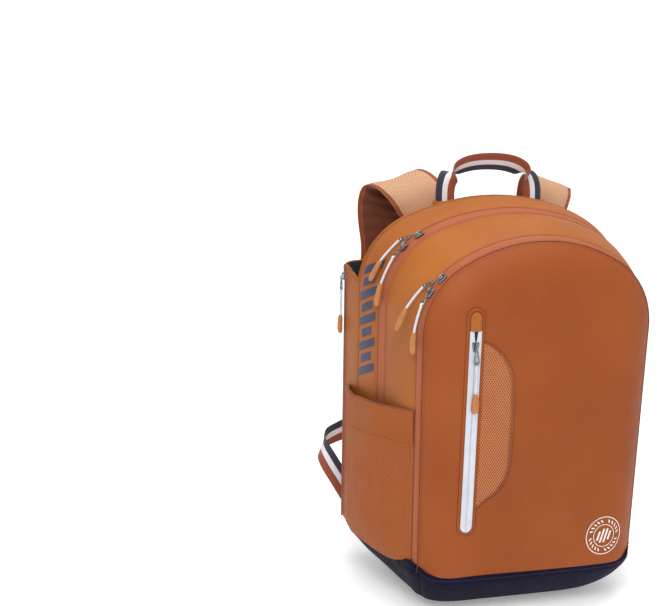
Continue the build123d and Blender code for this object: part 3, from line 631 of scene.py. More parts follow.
# the mouth's rim, then its black throat going down inside
def rim_pt(y, an_, off=0.0):
    hw, zt, zc, r1_ = knot(y)
    a_ = math.radians(an_)
    q = np.array([-(hw - r1_) - r1_ * math.cos(a_), y, zc + r1_ * math.sin(a_)])
    n_ = np.array([-math.cos(a_), 0, math.sin(a_)])
    return sink(q, y) + n_ * off
ring = [rim_pt(55.4, a_) for a_ in np.linspace(4.5, 79, 30)] + [rim_pt(y, 79) for y in np.linspace(58, 100, 12)] + [rim_pt(102, a_) for a_ in np.linspace(79, 21.5, 40)] + [rim_pt(y, A0(y)) for y in np.linspace(100, 57, 20)]
ring = resample(np.array(ring), 150, closed=True)
for _ in range(2):
    ring = (np.roll(ring, 1, 0) + ring * 2 + np.roll(ring, -1, 0)) / 4
cen = ring.mean(0)
UPD = unit_ = np.array([-0.62, 0, 0.78])
lev = []
for k, (sh, dn, out) in enumerate([(1.03, 0, -1.6), (1.005, 0, -0.5), (0.985, 0, -0.4), (0.965, 1, -1.4), (0.95, 6, -7), (0.94, 16, -16), (0.92, 30, -26), (0.84, 46, -36), (0.55, 58, -44), (0.03, 62, -48)]):
    q = cen + (ring - cen) * sh
    q = q + UPD * out
    if k > 3: q = q + np.array([0.0, 0, -0.35 * dn])
    q = q + 0.8 * wob(q, 30, 3)[:, None] * np.array([0.5, 0.3, 0.5]) * (k > 0)
    lev.append(q)
throat = grid_obj("mouth_throat", np.array(lev), [LINEN], cu=True, flip=False, sub=1)
piping = tube_mesh("mouth_piping", resample(cen + (ring - cen) * 1.0 + UPD * 0.2, 160, closed=True), 1.1, [OCHRE], sides=8, closed=True)
lipl = np.array([rim_pt(y, A0(y) - 2.2, 1.9) for y in np.linspace(101, 61, 24)])
st = stitches("mst", lipl, np.repeat(np.array([[-1.0, 0, 0.2]]), 24, 0), THREAD, pitch=3.2, length=2.3, rad=0.28)
put(join("racket_mouth", [throat, piping, st]), "pack", "racket_lining", slot="lining_black")

# racket zip: straight tape up the left side
def side_line(y, z, off):
    """Left side surface at depth y, height z."""
    hw, zt, zc, r1_ = knot(y)
    return np.array([-(hw - TAPER / (zc - BOOT_H) * (zc - z)) - off, y, z])
zs = np.linspace(62, 388, 90)
prof = [(92.2, -0.2), (92.6, 1.3), (94.2, 1.75), (96.6, 1.7), (97.5, 1.5), (97.9, 0.9), (98.1, 0.9), (98.5, 1.5), (99.4, 1.7), (101.8, 1.75), (103.4, 1.3), (103.8, -0.2)]
G = []
for y, h in prof:
    G.append([side_line(y, z, h + 0.25 + 0.0 + 1.1 * max(0, (z - 330) / 58) ** 2) + np.array([0, 0, 0]) for z in zs])
o = grid_obj("racket_zip_strip", np.array(G), [TAPE], sub=1)
parts = [o]
for y in (93.6, 102.4):
    L = np.array([side_line(y, z, 2.05 + 1.1 * max(0, (z - 330) / 58) ** 2) for z in zs])
    parts.append(stitches("rzs", L, np.repeat(np.array([[-1.0, 0, 0]]), len(L), 0), THREAD, pitch=3.2, length=2.3, rad=0.26))
# coil teeth down the middle
tee = []
zz = np.arange(64, 384, 1.5)
V, Fq = [], []
for z in zz:
    for sg, yy in ((1, 98.0 - 0.9), (-1, 98.0 + 0.9)):
        p = side_line(yy, z + (0.37 if sg > 0 else -0.37), 1.75 + 1.1 * max(0, (z - 330) / 58) ** 2)
        b = len(V)
        for dy, dz, dx in ((-1, -.5, .1), (1, -.5, .1), (1, .5, .1), (-1, .5, .1), (-.7, -.3, -.35), (.7, -.3, -.35), (.7, .3, -.35), (-.7, .3, -.35)):
            V.append(p + np.array([dx, dy * 0.95, dz * 0.95]))
        Fq += [(b, b + 1, b + 5, b + 4), (b + 1, b + 2, b + 6, b + 5), (b + 2, b + 3, b + 7, b + 6), (b + 3, b, b + 4, b + 7), (b + 4, b + 5, b + 6, b + 7)]
parts.append(mesh_obj("teeth", V, Fq, [BLACK]))
put(join("racket_zip_band", parts), "pack", "racket_zip_tape", slot="zip_tape_peach")

# ------------------------------------------------------------------ back panel
X, Z, NX, NZ = arch(106)
P = []
for y, ins in ((106.2, 0.4), (107.5, -0.2), (110.0, -0.4), (111.4, 0.6), (112.0, 2.6), (112.2, 6)):
    X, Z, _, _ = arch(109, ins)
    P.append(sink(np.stack([X, np.full_like(X, y), Z], -1), y))
base = P[-1]
sp = np.stack([np.zeros(len(base)), np.full(len(base), 112.0), np.minimum(base[:, 2], 300)], -1)
for k in (0.12, .25, .4, .55, .7, .85, 1.0):
    q = base + (sp - base) * k
    q[:, 1] = 112.2 + 0.9 * wob(q, 70, 2)
    P.append(q)
o = grid_obj("back_cloth", np.array(P), [AIR], sub=1, weld=True)
put(o, "pack", "back_panel", slot="air_mesh_peach")
bp = []
for ins, yy in ((0.2, 108.5),):
    X, Z, _, _ = arch(109, ins)
    bp.append(tube_mesh("bpipe", resample(sink(np.stack([X, np.full_like(X, yy), Z], -1), yy), 260), 1.9, [BIND], sides=8))
put(join("back_piping", bp), "pack", slot="patch_clay")

# ------------------------------------------------------------------ front panel
A99 = arch_param(-99)
def fp_depth(x, z):
    """How far inside the outline of the front a point lies."""
    hw, zt, zc, r1_, c1_, r2, phi = A99
    ax = np.abs(x); sl = TAPER / (zc - BOOT_H)
    ds = hw - sl * (zc - z) - ax
    da = r1_ - np.hypot(ax - c1_, z - zc)
    dt = r2 - np.hypot(ax, np.maximum(z - (zt - r2), 0))
    inarc = (z >= zc) & (ax > c1_) & (np.arctan2(z - zc, ax - c1_) < math.pi / 2 - phi)
    return np.where(z < zc, np.minimum(ds, dt), np.where(inarc, da, dt))

def fp_y(x, z):
    x, z = np.asarray(x, float), np.asarray(z, float)
    d = np.clip(fp_depth(x, z), 0, None)
    k = np.clip(d / 44, 0, 1)
    y = -99.9 - 21.1 * (1 - (1 - k) ** 2.4)
    mid = np.clip(d / 60, 0, 1) ** 1.5
    y = y - 3.2 * mid * np.exp(-((x - 30) / 100) ** 2 - ((z - 215) / 150) ** 2)
    P = np.stack([x, 0 * x, z], -1)
    away = np.clip(np.hypot(np.maximum(np.abs(x + 88) - 12, 0), np.maximum(np.abs(z - 232) - 145, 0)) / 30, 0.15, 1)
    y = y - 0.55 * mid * away * wob(P, 120, 5) - 0.25 * np.clip(d / 25, 0, 1) * wob(P, 46, 6) * away
    # pulls beside the zip and shallow dents at the lower left corner
    y = y + 1.1 * np.exp(-((z - 372) / 34) ** 2 - ((x + 112) / 16) ** 2) * mid
    y = y + 0.8 * np.exp(-((z - 96) / 22) ** 2 - ((x + 96) / 26) ** 2)
    return y

def fp_pt(x, z, off=0.0):
    x, z = np.asarray(x, float), np.asarray(z, float)
    return np.stack([x, fp_y(x, z) - off, z], -1)

ds = [0, .5, 1.2, 2.4, 4, 6, 8.5, 11.5, 15, 19, 24, 29, 35, 41, 48, 56, 65]
P = []
for d in ds:
    X, Z, _, _ = arch(-99, d, BOOT_H + 0.4)
    P.append(np.stack([X, fp_y(X, Z), Z], -1))
base = P[-1]
sx_, sz_ = np.zeros(len(base)), np.minimum(base[:, 2], 300)
for k in (.1, .2, .32, .44, .56, .68, .8, .9, 1.0):
    X = base[:, 0] * (1 - k) + sx_ * k; Z = base[:, 2] * (1 - k) + sz_ * k
    P.append(np.stack([X, fp_y(X, Z), Z], -1))
P = np.array(P)
P[0, :, 1] = -99.4
o = grid_obj("front_cloth", P, [CLAY, BLACK], solid=3.0, sub=1, mo=1, flip=True, weld=True)
put(o, "front_flap", "front_panel", slot="coated_fabric_clay")

# edge seam of the front: a thin dark cord and one stitch row on the roll
def fp_ring(d, off, zb=BOOT_H + 3):
    X, Z, NX, NZ = arch(-99, d, zb)
    A = np.stack([X, fp_y(X, Z), Z], -1)
    ny = (fp_y(X - NX * 1.0, Z - NZ * 1.0) - fp_y(X + NX * 0.0, Z + NZ * 0.0)) / 1.0
    N = np.stack([NX, 0 * NX, NZ], -1) * np.clip(-ny, 0, 6)[:, None] + np.array([0, -1.0, 0])
    N /= np.linalg.norm(N, axis=1, keepdims=True)
    return A + N * off, N
A, N = fp_ring(0.25, 0.1)
parts = [tube_mesh("edge", A, 0.55, [THREADD], sides=6)]
A, N = fp_ring(2.6, 0.05)
parts.append(stitches("est", A, N, THREADD, pitch=3.2, length=2.1, rad=0.24))
put(join("front_edge_seam", parts), "front_flap", slot="patch_clay")

# ------------------------------------------------------------------ front pocket: zip, welt, garage and vent
ZX, ZB, ZT = -88.0, 112.0, 352.5
u = np.array([-7.3, -7.1, -6.6, -4, -1.6, -0.8, -0.45, 0, 0.45, 0.8, 1.6, 4, 6.6, 7.1, 7.3])
h = np.array([0.2, 0.95, 1.15, 1.2, 1.15, 0.9, 0.35, 0.2, 0.35, 0.9, 1.15, 1.2, 1.15, 0.95, 0.2])
vs = np.r_[np.linspace(0.05, 7.3, 10), np.linspace(10, ZT - ZB, 60)]
G = []
for uu, hh in zip(u, h):
    row = []
    for v in vs:
        k = math.sqrt(max(0, 1 - (1 - min(v, 7.3) / 7.3) ** 2))
        kk = max(k, 0.08)
        row.append(fp_pt(ZX + uu * kk, ZB + v, hh))
    G.append(row)
tape_o = grid_obj("pocket_zip", np.array(G), [TAPEW], flip=False, sub=1)
# the parted stretch above the slider, dark between the two rows of teeth
G = []
for t in np.linspace(0, 1, 14):
    z = 338.5 + (ZT + 0.6 - 338.5) * t; wd_ = 0.35 + 1.75 * math.sin(math.pi / 2 * t) ** 0.8
    G.append([fp_pt(ZX + a * wd_, z, 1.32 + 0.22 * (1 - a * a)) for a in np.linspace(-1, 1, 7)])
gap_o = grid_obj("pocket_zip_gap", np.array(G), [BLACK], sub=1, flip=True)
# covered teeth: fine ribs in the groove
V, Fq = [], []
for z in np.arange(ZB + 9, ZT, 1.6):
    p = fp_pt(ZX, z, 0.62)
    b = len(V)
    for dx, dz, dy in ((-.75, -.45, .3), (.75, -.45, .3), (.75, .45, .3), (-.75, .45, .3), (-.5, -.25, -.2), (.5, -.25, -.2), (.5, .25, -.2), (-.5, .25, -.2)):
        V.append(p + np.array([dx, dy, dz]))
    Fq += [(b, b + 1, b + 5, b + 4), (b + 1, b + 2, b + 6, b + 5), (b + 2, b + 3, b + 7, b + 6), (b + 3, b, b + 4, b + 7), (b + 4, b + 5, b + 6, b + 7)]
tee = mesh_obj("tee", V, Fq, [TAPEW])
q = join("pocket_zip_tapes", [tape_o, tee, gap_o])
put(q, "front_flap", "pocket_zip_tape", slot="zip_tape_white")

def slot_ring(w, z0, z1, rt, rb, n=160):
    """Rounded long loop round the zip, half width w."""
    pts = []
    for a in np.linspace(-math.pi, 0, 14): pts.append((ZX + w * math.cos(a), z0 + w * rb * (1 + math.sin(a))))
    for a in np.linspace(0, math.pi, 14): pts.append((ZX + w * math.cos(a), z1 - w * rt * (1 - math.sin(a))))
    pts = np.array([(x, 0, z) for x, z in pts])
    return resample(pts, n, closed=True)
R = slot_ring(9.0, ZB - 2.2, ZT + 24.5, 1, 1, 200)
C = fp_pt(R[:, 0], R[:, 2], 0.0)
T = frames_along(C, closed=True); W = np.cross(T, np.array([0, -1.0, 0])); W /= np.linalg.norm(W, axis=1, keepdims=True)
N = np.repeat(np.array([[0, -1.0, 0]]), len(C), 0)
sec = [(-1.9, -0.3), (-1.75, 0.75), (-1.2, 1.15), (-0.2, 1.2), (0.9, 1.0), (1.9, 0.45), (2.6, -0.3)]
cen = C.mean(0); sgn = np.sign(np.sum(W * (C - C.mean(0)), 1).mean())
welt = sweep_section("welt", C, W * sgn, N, sec, [CLAY], closed=True)
if sgn < 0:
    welt.data.flip_normals()
Rs = slot_ring(11.6, ZB - 4.6, ZT + 27.2, 1, 1, 220); Cs = fp_pt(Rs[:, 0], Rs[:, 2], 0.25)
st1 = stitches("ws", np.vstack([Cs, Cs[:1]]), np.repeat(np.array([[0, -1.0, 0]]), len(Cs) + 1, 0), THREADD, pitch=3.0, length=2.0, rad=0.28)
Rs = slot_ring(8.6, ZB - 1.8, ZT + 24.2, 1, 1, 220); Cs = fp_pt(Rs[:, 0], Rs[:, 2], 1.25)
st2 = stitches("ws2", np.vstack([Cs, Cs[:1]]), np.repeat(np.array([[0, -1.0, 0]]), len(Cs) + 1, 0), THREADD, pitch=3.0, length=2.0, rad=0.22)
put(join("pocket_welt_ring", [welt, st1, st2]), "front_flap", "pocket_welt", slot="coated_fabric_clay")

# garage: domed tab over the zip's top
G = []
for t in np.linspace(0, 1, 16):
    z = ZT - 0.5 + 22.5 * t
    hwid = 7.3 * math.sqrt(max(0.0, 1 - max(0, (t - 0.62) / 0.38) ** 2)) if t > 0.62 else 7.3
    hwid = max(hwid, 0.3)
    row = []
    for a in np.linspace(-1, 1, 15):
        e = (1 - abs(a) ** 4)
        row.append(fp_pt(ZX + a * hwid, z, 0.5 + 2.3 * e * (1 - 0.35 * t) * min(1, (1 - t) * 6)))
    G.append(row)
gar = grid_obj("gar", np.array(G), [OCHRE], solid=1.4, sub=1)
L = np.array([fp_pt(ZX + a, ZT + 2.2, 3.0 - 1.2 * (abs(a) / 6.5) ** 4) for a in np.linspace(-6.3, 6.3, 8)])
put(join("zip_garage_tab", [gar]), "front_flap", "zip_garage", slot="coated_fabric_clay")

# vent net with its bound edge
VB = np.array([(-76.7, 338), (-70, 335), (-63.7, 331), (-56.5, 325), (-50.6, 318), (-46, 311.5), (-43, 304), (-40.6, 296), (-39.6, 288), (-38.2, 268), (-37.8, 248), (-38.0, 220), (-38.9, 192), (-42, 177), (-47.4, 166), (-55, 158), (-63.5, 153), (-70, 148), (-76.7, 142)])
VC = catmull(np.stack([VB[:, 0], 0 * VB[:, 0], VB[:, 1]], -1), 5)
G = []
order = np.argsort(VC[:, 2]); zs_, xs_ = VC[order, 2], VC[order, 0]
for z in np.linspace(142.5, 337.5, 64):
    xr = float(np.interp(z, zs_, xs_)); xr = max(xr, -76.4)
    row = []
    for t in np.linspace(0, 1, 16):
        x = -77.4 + (xr + 77.4) * t
        e = min(1, min(t, 1 - t) * 7) ** 0.6
        row.append(fp_pt(x, z, 0.15 + 0.75 * e + 0.12 * math.sin(z / 9.0 + x / 7)))
    G.append(row)
vent = grid_obj("vent", np.array(G), [NETX], sub=1)
Cv = fp_pt(VC[:, 0], VC[:, 2], 0.75)
edge = tube_mesh("ve", Cv, 0.95, [BIND], sides=8)
T = frames_along(Cv); Wd = np.cross(T, np.array([0, -1.0, 0]))
sg = np.sign((Wd[len(Wd) // 2]) @ np.array([1, 0, 0]))
st3 = stitches("vs", Cv + Wd * sg * 2.4 + np.array([0, 0.45, 0]), np.repeat(np.array([[0, -1.0, 0]]), len(Cv), 0), THREADD, pitch=3.2, length=2.2, rad=0.26)
st4 = stitches("vs", Cv - Wd * sg * 2.6 + np.array([0, 0.0, 0]), np.repeat(np.array([[0, -1.0, 0]]), len(Cv), 0), THREADD, pitch=3.2, length=2.2, rad=0.22)
put(join("vent_net", [vent, edge, st3, st4]), "front_flap", "vent_panel", slot="net_clay")

# pocket bag inside the front: sagging lining sack
G = []
for k, z in enumerate(np.linspace(101, 370, 26)):
    row = []
    for a in np.linspace(0, 2 * math.pi, 40, endpoint=False):
        cx, cy = -37.0, -110.6
        hx = 56.0 * (1 - 0.12 * (z - 101) / 269); hy = 4.9 * (0.55 + 0.45 * math.sin(math.pi * (k + 2) / 29))
        x = cx + hx * np.sign(math.cos(a)) * abs(math.cos(a)) ** 0.35; y = cy + hy * np.sign(math.sin(a)) * abs(math.sin(a)) ** 0.6
        row.append((x, y, z))
    G.append(row)
G = np.array(G); G[..., 1] += 0.5 * wob(G, 60, 1)
o = grid_obj("pocket_sack", G, [LINEN], cu=True, sub=1)
put(o, "front_flap", "pocket_bag", slot="lining_black")

# generic print low on the front right: a ring with slanted bars
EX, EZ = 91.4, 92.6
objs = []
def fp_patch(fn, nu, nv, off, mat, name):
    G = np.array([[fp_pt(*fn(a, b), off) for b in np.linspace(0, 1, nv)] for a in np.linspace(0, 1, nu)])
    return grid_obj(name, G, [mat])
for r0_, r1_ in ((22.9, 23.9), (13.4, 14.2)):
    objs.append(fp_patch(lambda a, b: (EX + (r0_ + (r1_ - r0_) * a) * math.cos(2 * math.pi * b), EZ + (r0_ + (r1_ - r0_) * a) * math.sin(2 * math.pi * b)), 3, 97, 0.18, INKW, "ring"))
for k in range(4):
    cx = -7.2 + 4.8 * k; hh_ = (6.5, 10.0, 10.0, 6.5)[k]
    objs.append(fp_patch(lambda a, b: (EX + cx + (a - 0.5) * 2.5 + (b - 0.5) * hh_ * 0.5, EZ + (b - 0.5) * 2 * hh_ * 0.85), 3, 9, 0.18, INKW, "bar"))
for k in range(24):
    an = 2 * math.pi * (k + 0.5) / 24
    if k % 6 == 5: continue
    objs.append(fp_patch(lambda a, b: (EX + (16.6 + 3.6 * a) * math.cos(an + (b - 0.5) * 0.10 + 0.10 * a), EZ + (16.6 + 3.6 * a) * math.sin(an + (b - 0.5) * 0.10 + 0.10 * a)), 4, 3, 0.18, INKW, "tick"))
put(join("front_print", objs), "front_flap", slot="coated_fabric_clay")

# generic slanted bars on the left rear gusset
def gus_z(y, z):
    X, Z, _, _ = arch(y)
    d = np.r_[0, np.cumsum(np.hypot(np.diff(X), np.diff(Z)))]
    m = int(np.argmax(Z)); return float(np.interp(z, Z[:m], d[:m]))
objs = []
NB = 9
for k in range(NB):
    t = k / (NB - 1)
    zc0 = 272 + (398 - 272) * t; yc0 = 28.0 - 2.0 * t
    half = (19.0, 13, 19, 12, 19, 13, 19, 12, 17)[k]
    G = []
    for a in np.linspace(0, 1, 5):
        row = []
        for b in np.linspace(-1, 1, 13):
            y = yc0 + b * half; z = zc0 + (a - 0.5) * 10.5 - b * half * 0.42
            p, n = gusset_pt("rear_gusset", y, gus_z(min(max(y, -1), 50), z), 0.22)
            row.append(p)
        G.append(row)
    objs.append(grid_obj("bar", np.array(G), [INK], flip=True))
put(join("side_print", objs), "pack", slot="gusset_fabric_ochre")

# ------------------------------------------------------------------ boot
TOPH = [(-80, -121), (-112, -118), (-129, -110), (-137.5, -99), (-153.1, -12), (-163.7, 52.5), (-160.5, 112)]
FOOTH = [(-66, -62), (-88, -59), (-101, -49), (-106, -34), (-102, -4), (-96, 34), (-88, 58)]
def half_loop(poly):
    pts = [(0, poly[0][1])] + list(poly) + [(0, poly[-1][1])]
    cnt = (22, 9, 6, 6, 24, 18, 15, 26)
    out = []
    for (a, b), n in zip(zip(pts, pts[1:]), cnt):
        for k in range(n):
            out.append((a[0] + (b[0] - a[0]) * k / n, a[1] + (b[1] - a[1]) * k / n))
    out.append(pts[-1])
    h = np.array(out)
    m = h[1:-1][::-1] * np.array([-1, 1])
    return np.vstack([h, m])
def smooth_loop(L, it):
    for _ in range(it):
        L = (np.roll(L, 1, 0) + 2 * L + np.roll(L, -1, 0)) / 4
    return L
bt, bf = smooth_loop(half_loop(TOPH), 5), smooth_loop(half_loop(FOOTH), 16)
nb = len(bt)
dirn = bt - np.array([0, 0]); dirn /= np.linalg.norm(dirn, axis=1, keepdims=True)
tg = np.roll(bt, -1, 0) - np.roll(bt, 1, 0); nrm2 = np.stack([tg[:, 1], -tg[:, 0]], -1); nrm2 /= np.linalg.norm(nrm2, axis=1, keepdims=True)
if np.sum(nrm2 * bt) < 0: nrm2 = -nrm2
ztop = np.full(nb, 55.0)
for sx in (-1, 1):
    dd = np.hypot(bt[:, 0] - sx * 139.5, bt[:, 1] + 97.0)
    fr = (bt[:, 1] < -97)
    ztop += np.where(fr, 12.0 * np.exp(-(dd / 17.0) ** 2), 15.0 * np.exp(-(dd / 38.0) ** 2) - 3.0 * np.exp(-(dd / 7.0) ** 2))
for _ in range(3): ztop = (np.roll(ztop, 1) + 2 * ztop + np.roll(ztop, -1)) / 4
def boot_pt(t, off=0.0):
    z = ztop * t; tz = np.minimum(1.0, z / 55.0)
    k = 1 - np.maximum(0.0, 1 - (1 - tz) ** 1.35) ** (1 / 1.35)
    q = bt + (bf - bt) * k[:, None]
    z = np.maximum(z, 0.0)
    P = np.stack([q[:, 0], q[:, 1], z], -1)
    off = off + np.clip((ztop - 56.0) / 5.0, 0, 1) * np.clip((z - 44) / 10.0, 0, 1) * np.where(bt[:, 1] < -97, 2.0, 3.6)
    cre = np.zeros(nb)
    for cx, cy, wd, am in ((-137.0, -100.0, 6.0, -1.9), (137.0, -100.0, 6.0, -1.9), (-128, -112, 8.0, 0.9), (128, -112, 8.0, 0.9), (-141, -86, 9.0, 1.1), (141, -86, 9.0, 1.1), (-158, 108, 6, -1.0), (158, 108, 6, -1.0)):
        d = np.hypot(bt[:, 0] - cx, bt[:, 1] - cy)
        cre += am * np.exp(-(d / wd) ** 2)
    cre *= 0.35 + 0.65 * math.sin(math.pi * min(1, 0.15 + t * 0.8))
    o = off + cre + 0.7 * math.sin(math.pi * t) + 0.6 * wob(P, 85, 2) * math.sin(math.pi * t) ** 0.7
    P[:, :2] += nrm2 * (o[:, None] if hasattr(o, "shape") else o)
    return P
lv = [boot_pt(t) for t in (0.003, .012, .03, .06, .1, .16, .24, .34, .45, .57, .7, .82, .92, .975, 1.0)]
flat = boot_pt(0.0); flat[:, 2] = 0.15
low = []
for k in (0.02, 0.3, 0.7, 0.95):
    q = flat.copy(); q[:, :2] *= k; q[:, 2] = 0.35 if k < .95 else 0.2
    low.append(q)
top_in = []
for d_, z_ in ((0.9, 55.6), (2.2, 55.2), (3.0, 53.5), (3.2, 46)):
    q = boot_pt(1.0, -d_); q[:, 2] = z_ - 55.0 + ztop; top_in.append(q)
G = np.array(low + lv + top_in)
o = grid_obj("boot_shell", G, [NAVY], cu=True, flip=False, sub=1)
def fix_out(o, centre=(0, 0, 0.03)):
    bm = bmesh.new(); bm.from_mesh(o.data); bmesh.ops.recalc_face_normals(bm, faces=bm.faces); bm.to_mesh(o.data); bm.free()
fix_out(o)
parts = [o]
A = boot_pt(0.93, 0.15); Nn = np.concatenate([nrm2, np.zeros((nb, 1))], 1)
parts.append(stitches("bst", np.vstack([A, A[:1]]), np.vstack([Nn, Nn[:1]]), THREADN, pitch=3.3, length=2.4, rad=0.28))
A = boot_pt(1.0, -0.3); A[:, 2] = 0.7 + ztop
parts.append(tube_mesh("bse", A, 0.75, [NAVY], sides=8, closed=True))
for s in (-1, 1):
    i = int(np.argmin(np.hypot(bt[:, 0] - s * 137.0, bt[:, 1] + 100.0)))
    line = np.array([boot_pt(t, 0.25)[i] for t in np.linspace(0.10, 0.97, 22)])
    parts.append(tube_mesh("bc", line, 0.5, [NAVY], sides=6))
put(join("boot_bowl", parts), "pack", "boot", slot="boot_navy")

# ------------------------------------------------------------------ side net pockets
PYS = [-86.0, -72.0, -40.0, -14.0, -12.0, -1.0, 24.0, 50.5, 52.5, 68.0, 83.0]
PBU = [0.9, 8.4, 14.5, 16.6, 16.7, 17.0, 16.6, 14.2, 13.8, 8.4, 0.9]
def pocket_pt(s, y, z, off=0.0):
    tt = (y + 86) / 169.0
    b = float(np.interp(y, PYS, PBU))
    b = b * (0.55 + 0.45 * (1 - abs(2 * tt - 1) ** 2.2))
    kz = float(np.interp(z, [55.0, 62, 75, 95, 190, 225, 256], [0.32, 0.55, 0.8, 1.0, 1.0, 0.93, 0.86]))
    p = side_line(y, z, b * kz + off)
    P = p[None]
    e = min(1.0, min(tt, 1 - tt) * 6) * min(1, (z - 54) / 22)
    fold = 1.6 * wob(P, 62, 1)[0] + 0.7 * wob(P, 30, 4)[0] + 0.9 * math.sin(y / 9.0 + z / 60.0) * max(0, 1 - abs(z - 215) / 60) * 0.7
    p = p + np.array([-1, 0, 0]) * (fold * e * 0.8)
    if s > 0: p = p * np.array([-1, 1, 1])
    return p
def pocket_top(y):
    tt = (y + 86) / 169.0
    return 251.5 - 13.0 * tt - 2.2 * math.sin(math.pi * tt) + 1.6 * math.exp(-((y - 46) / 7) ** 2) - 1.4 * math.exp(-((y - 26) / 8) ** 2)
for s, nme in ((-1, "left"), (1, "right")):
    ys = np.r_[-86.5, -85.5, -83, -79, np.linspace(-74, 72, 40), 76, 79.5, 82, 83]
    foot_z = lambda y: 55.4 + 14.5 * math.exp(-((y + 93) / 33.0) ** 2)
    def cols(z0f, z1f, n, off):
        G = []
        for y in ys:
            z0, z1 = z0f(y), z1f(y)
            G.append([pocket_pt(s, y, z, off) for z in np.linspace(z0, z1, n)])
        return np.array(G)
    net_o = grid_obj("pn", cols(lambda y: foot_z(y) - 1.0, lambda y: pocket_top(y) - 30.0, 40, 0.0), [NET], solid=0.9, sub=1, flip=(s < 0))
    hem_o = grid_obj("ph", cols(lambda y: pocket_top(y) - 38.5, lambda y: pocket_top(y), 12, 0.9), [NET], solid=1.6, sub=1, flip=(s < 0))
    nn = np.array([s, 0, 0.0])
    E = np.array([pocket_pt(s, y, pocket_top(y), 0.3) for y in ys])
    hp_ = [hem_o, tube_mesh("pe", E, 1.0, [BIND], sides=8)]
    L1 = np.array([pocket_pt(s, y, pocket_top(y) - 36.6, 1.15) for y in ys])
    L2 = np.array([pocket_pt(s, y, pocket_top(y) - 3.2, 1.15) for y in ys])
    for L in (L1, L2):
        hp_.append(stitches("ps", L, np.repeat(nn[None], len(L), 0), THREAD, pitch=3.3, length=2.4, rad=0.28))
    bp_ = [net_o]
    L = np.array([pocket_pt(s, y, foot_z(y) + 2.6, 0.25) for y in ys])
    bp_.append(stitches("ps", L, np.repeat(nn[None], len(L), 0), THREAD, pitch=3.3, length=2.4, rad=0.28))
    for y in (-84.6, 81.4):
        hemz = lambda y, z: 1.9 * min(1.0, max(0.0, (z - pocket_top(y) + 41.0) / 3.0))
        L = np.array([pocket_pt(s, y, z, 0.35 + hemz(y, z)) for z in np.linspace(foot_z(y) + 2, pocket_top(y) - 2, 60)])
        bp_.append(stitches("ps", L, np.repeat(nn[None], len(L), 0), THREAD, pitch=3.3, length=2.4, rad=0.3))
        L = np.array([pocket_pt(s, y + (-1.6 if y < 0 else 1.4), z, 0.1 + hemz(y, z)) for z in np.linspace(foot_z(y), pocket_top(y), 60)])
        bp_.append(tube_mesh("pb", L, 1.2, [BIND], sides=6))
    put(join("net_pocket_" + nme, bp_), "pack", "side_pocket_" + nme, slot="net_clay")
    put(join("net_hem_" + nme, hp_), "pack", "pocket_hem_" + nme, slot="net_clay")
    # bar tacks at the two top corners; their white colour is a painted glint on the thread
    bt_ = []
    for y in (-83.5, 80.0):
        for k in range(5):
            c = pocket_pt(s, y + (k - 2) * 0.9, pocket_top(y) - 6, 1.3)
            d = pocket_pt(s, y + (k - 2) * 0.9, pocket_top(y) - 1, 1.3)
            bt_.append(tube_mesh("bk", np.array([c, (c + d) / 2 + nn * 0.3, d]), 0.4, [INKW], sides=5))
    put(join("bar_tacks_painted_glint_" + nme, bt_), "pack", slot="net_clay")

# ------------------------------------------------------------------ copies of sewn patches with rounded edges
def cadcopy(name, node, mat, bevel=0.7, seg=2):
    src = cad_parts[node]
    me = src.data.copy(); me.materials.clear(); me.materials.append(mat)
    o = bpy.data.objects.new(name, me); COL.objects.link(o); o.matrix_world = src.matrix_world.copy()
    bm = bmesh.new(); bm.from_mesh(me); bmesh.ops.remove_doubles(bm, verts=bm.verts, dist=1e-5)
    bmesh.ops.dissolve_limit(bm, angle_limit=0.02, verts=bm.verts, edges=bm.edges); bm.to_mesh(me); bm.free()
    me.polygons.foreach_set("use_smooth", [True] * len(me.polygons)); me.polygons.foreach_set("material_index", [0] * len(me.polygons))
    b = o.modifiers.new("bevel", "BEVEL"); b.width = bevel * MM; b.segments = seg; b.limit_method = "ANGLE"; b.angle_limit = math.radians(25); b.harden_normals = True
    b.use_clamp_overlap = True
    return o
for s, nme in ((-1, "left"), (1, "right")):
    o = cadcopy("ct", "corner_tab_" + nme, CLAY, 0.6)
    pts = [(-123.5, 64), (-123.5, 97.5), (-145, 92.5), (-158.5, 77.5), (-148.5, 64.5)]
    L = np.array([(-s * x if s > 0 else x, 114.0, z) for x, z in pts + pts[:1]])
    L = resample(L, 60)
    st = stitches("cs", L, np.repeat(np.array([[0, 1.0, 0]]), len(L), 0), THREADD, pitch=3.2, length=2.3, rad=0.28)
    X1 = np.array([(-s * x if s > 0 else x, 114.0, z) for x, z in ((-125, 95), (-146, 68))]); X2 = np.array([(-s * x if s > 0 else x, 114.0, z) for x, z in ((-125, 66), (-146, 90))])
    o = join("corner_patch_" + nme, [o, st] + [stitches("cx", resample(q, 10), np.repeat(np.array([[0, 1.0, 0]]), 10, 0), THREADD, pitch=3.2, length=2.3, rad=0.28) for q in (X1, X2)])
    put(o, "pack", "corner_tab_" + nme, slot="patch_clay")
o = cadcopy("yk", "strap_yoke", BIND, 1.2, 3)
L = []
for x, z in ((-92, 390), (-92, 420), (92, 420), (92, 390), (-92, 390)): L.append((x, 116.05, z))
L = resample(np.array(L, float), 160)
put(join("strap_yoke_patch", [o, stitches("ys", L, np.repeat(np.array([[0, 1.0, 0]]), len(L), 0), THREADD, pitch=3.3, length=2.4, rad=0.3)]), "pack", "strap_yoke", slot="patch_clay")
put(cadcopy("handle_feet", "handle_anchors", OCHRE, 1.6, 3), "pack", "handle_anchors", slot="patch_clay")
for nme in ("left", "right"):
    put(cadcopy("ladder_" + nme, "ladder_lock_" + nme, PLAST, 0.9, 3), "strap_" + nme, "ladder_lock_" + nme, slot="buckle_black")
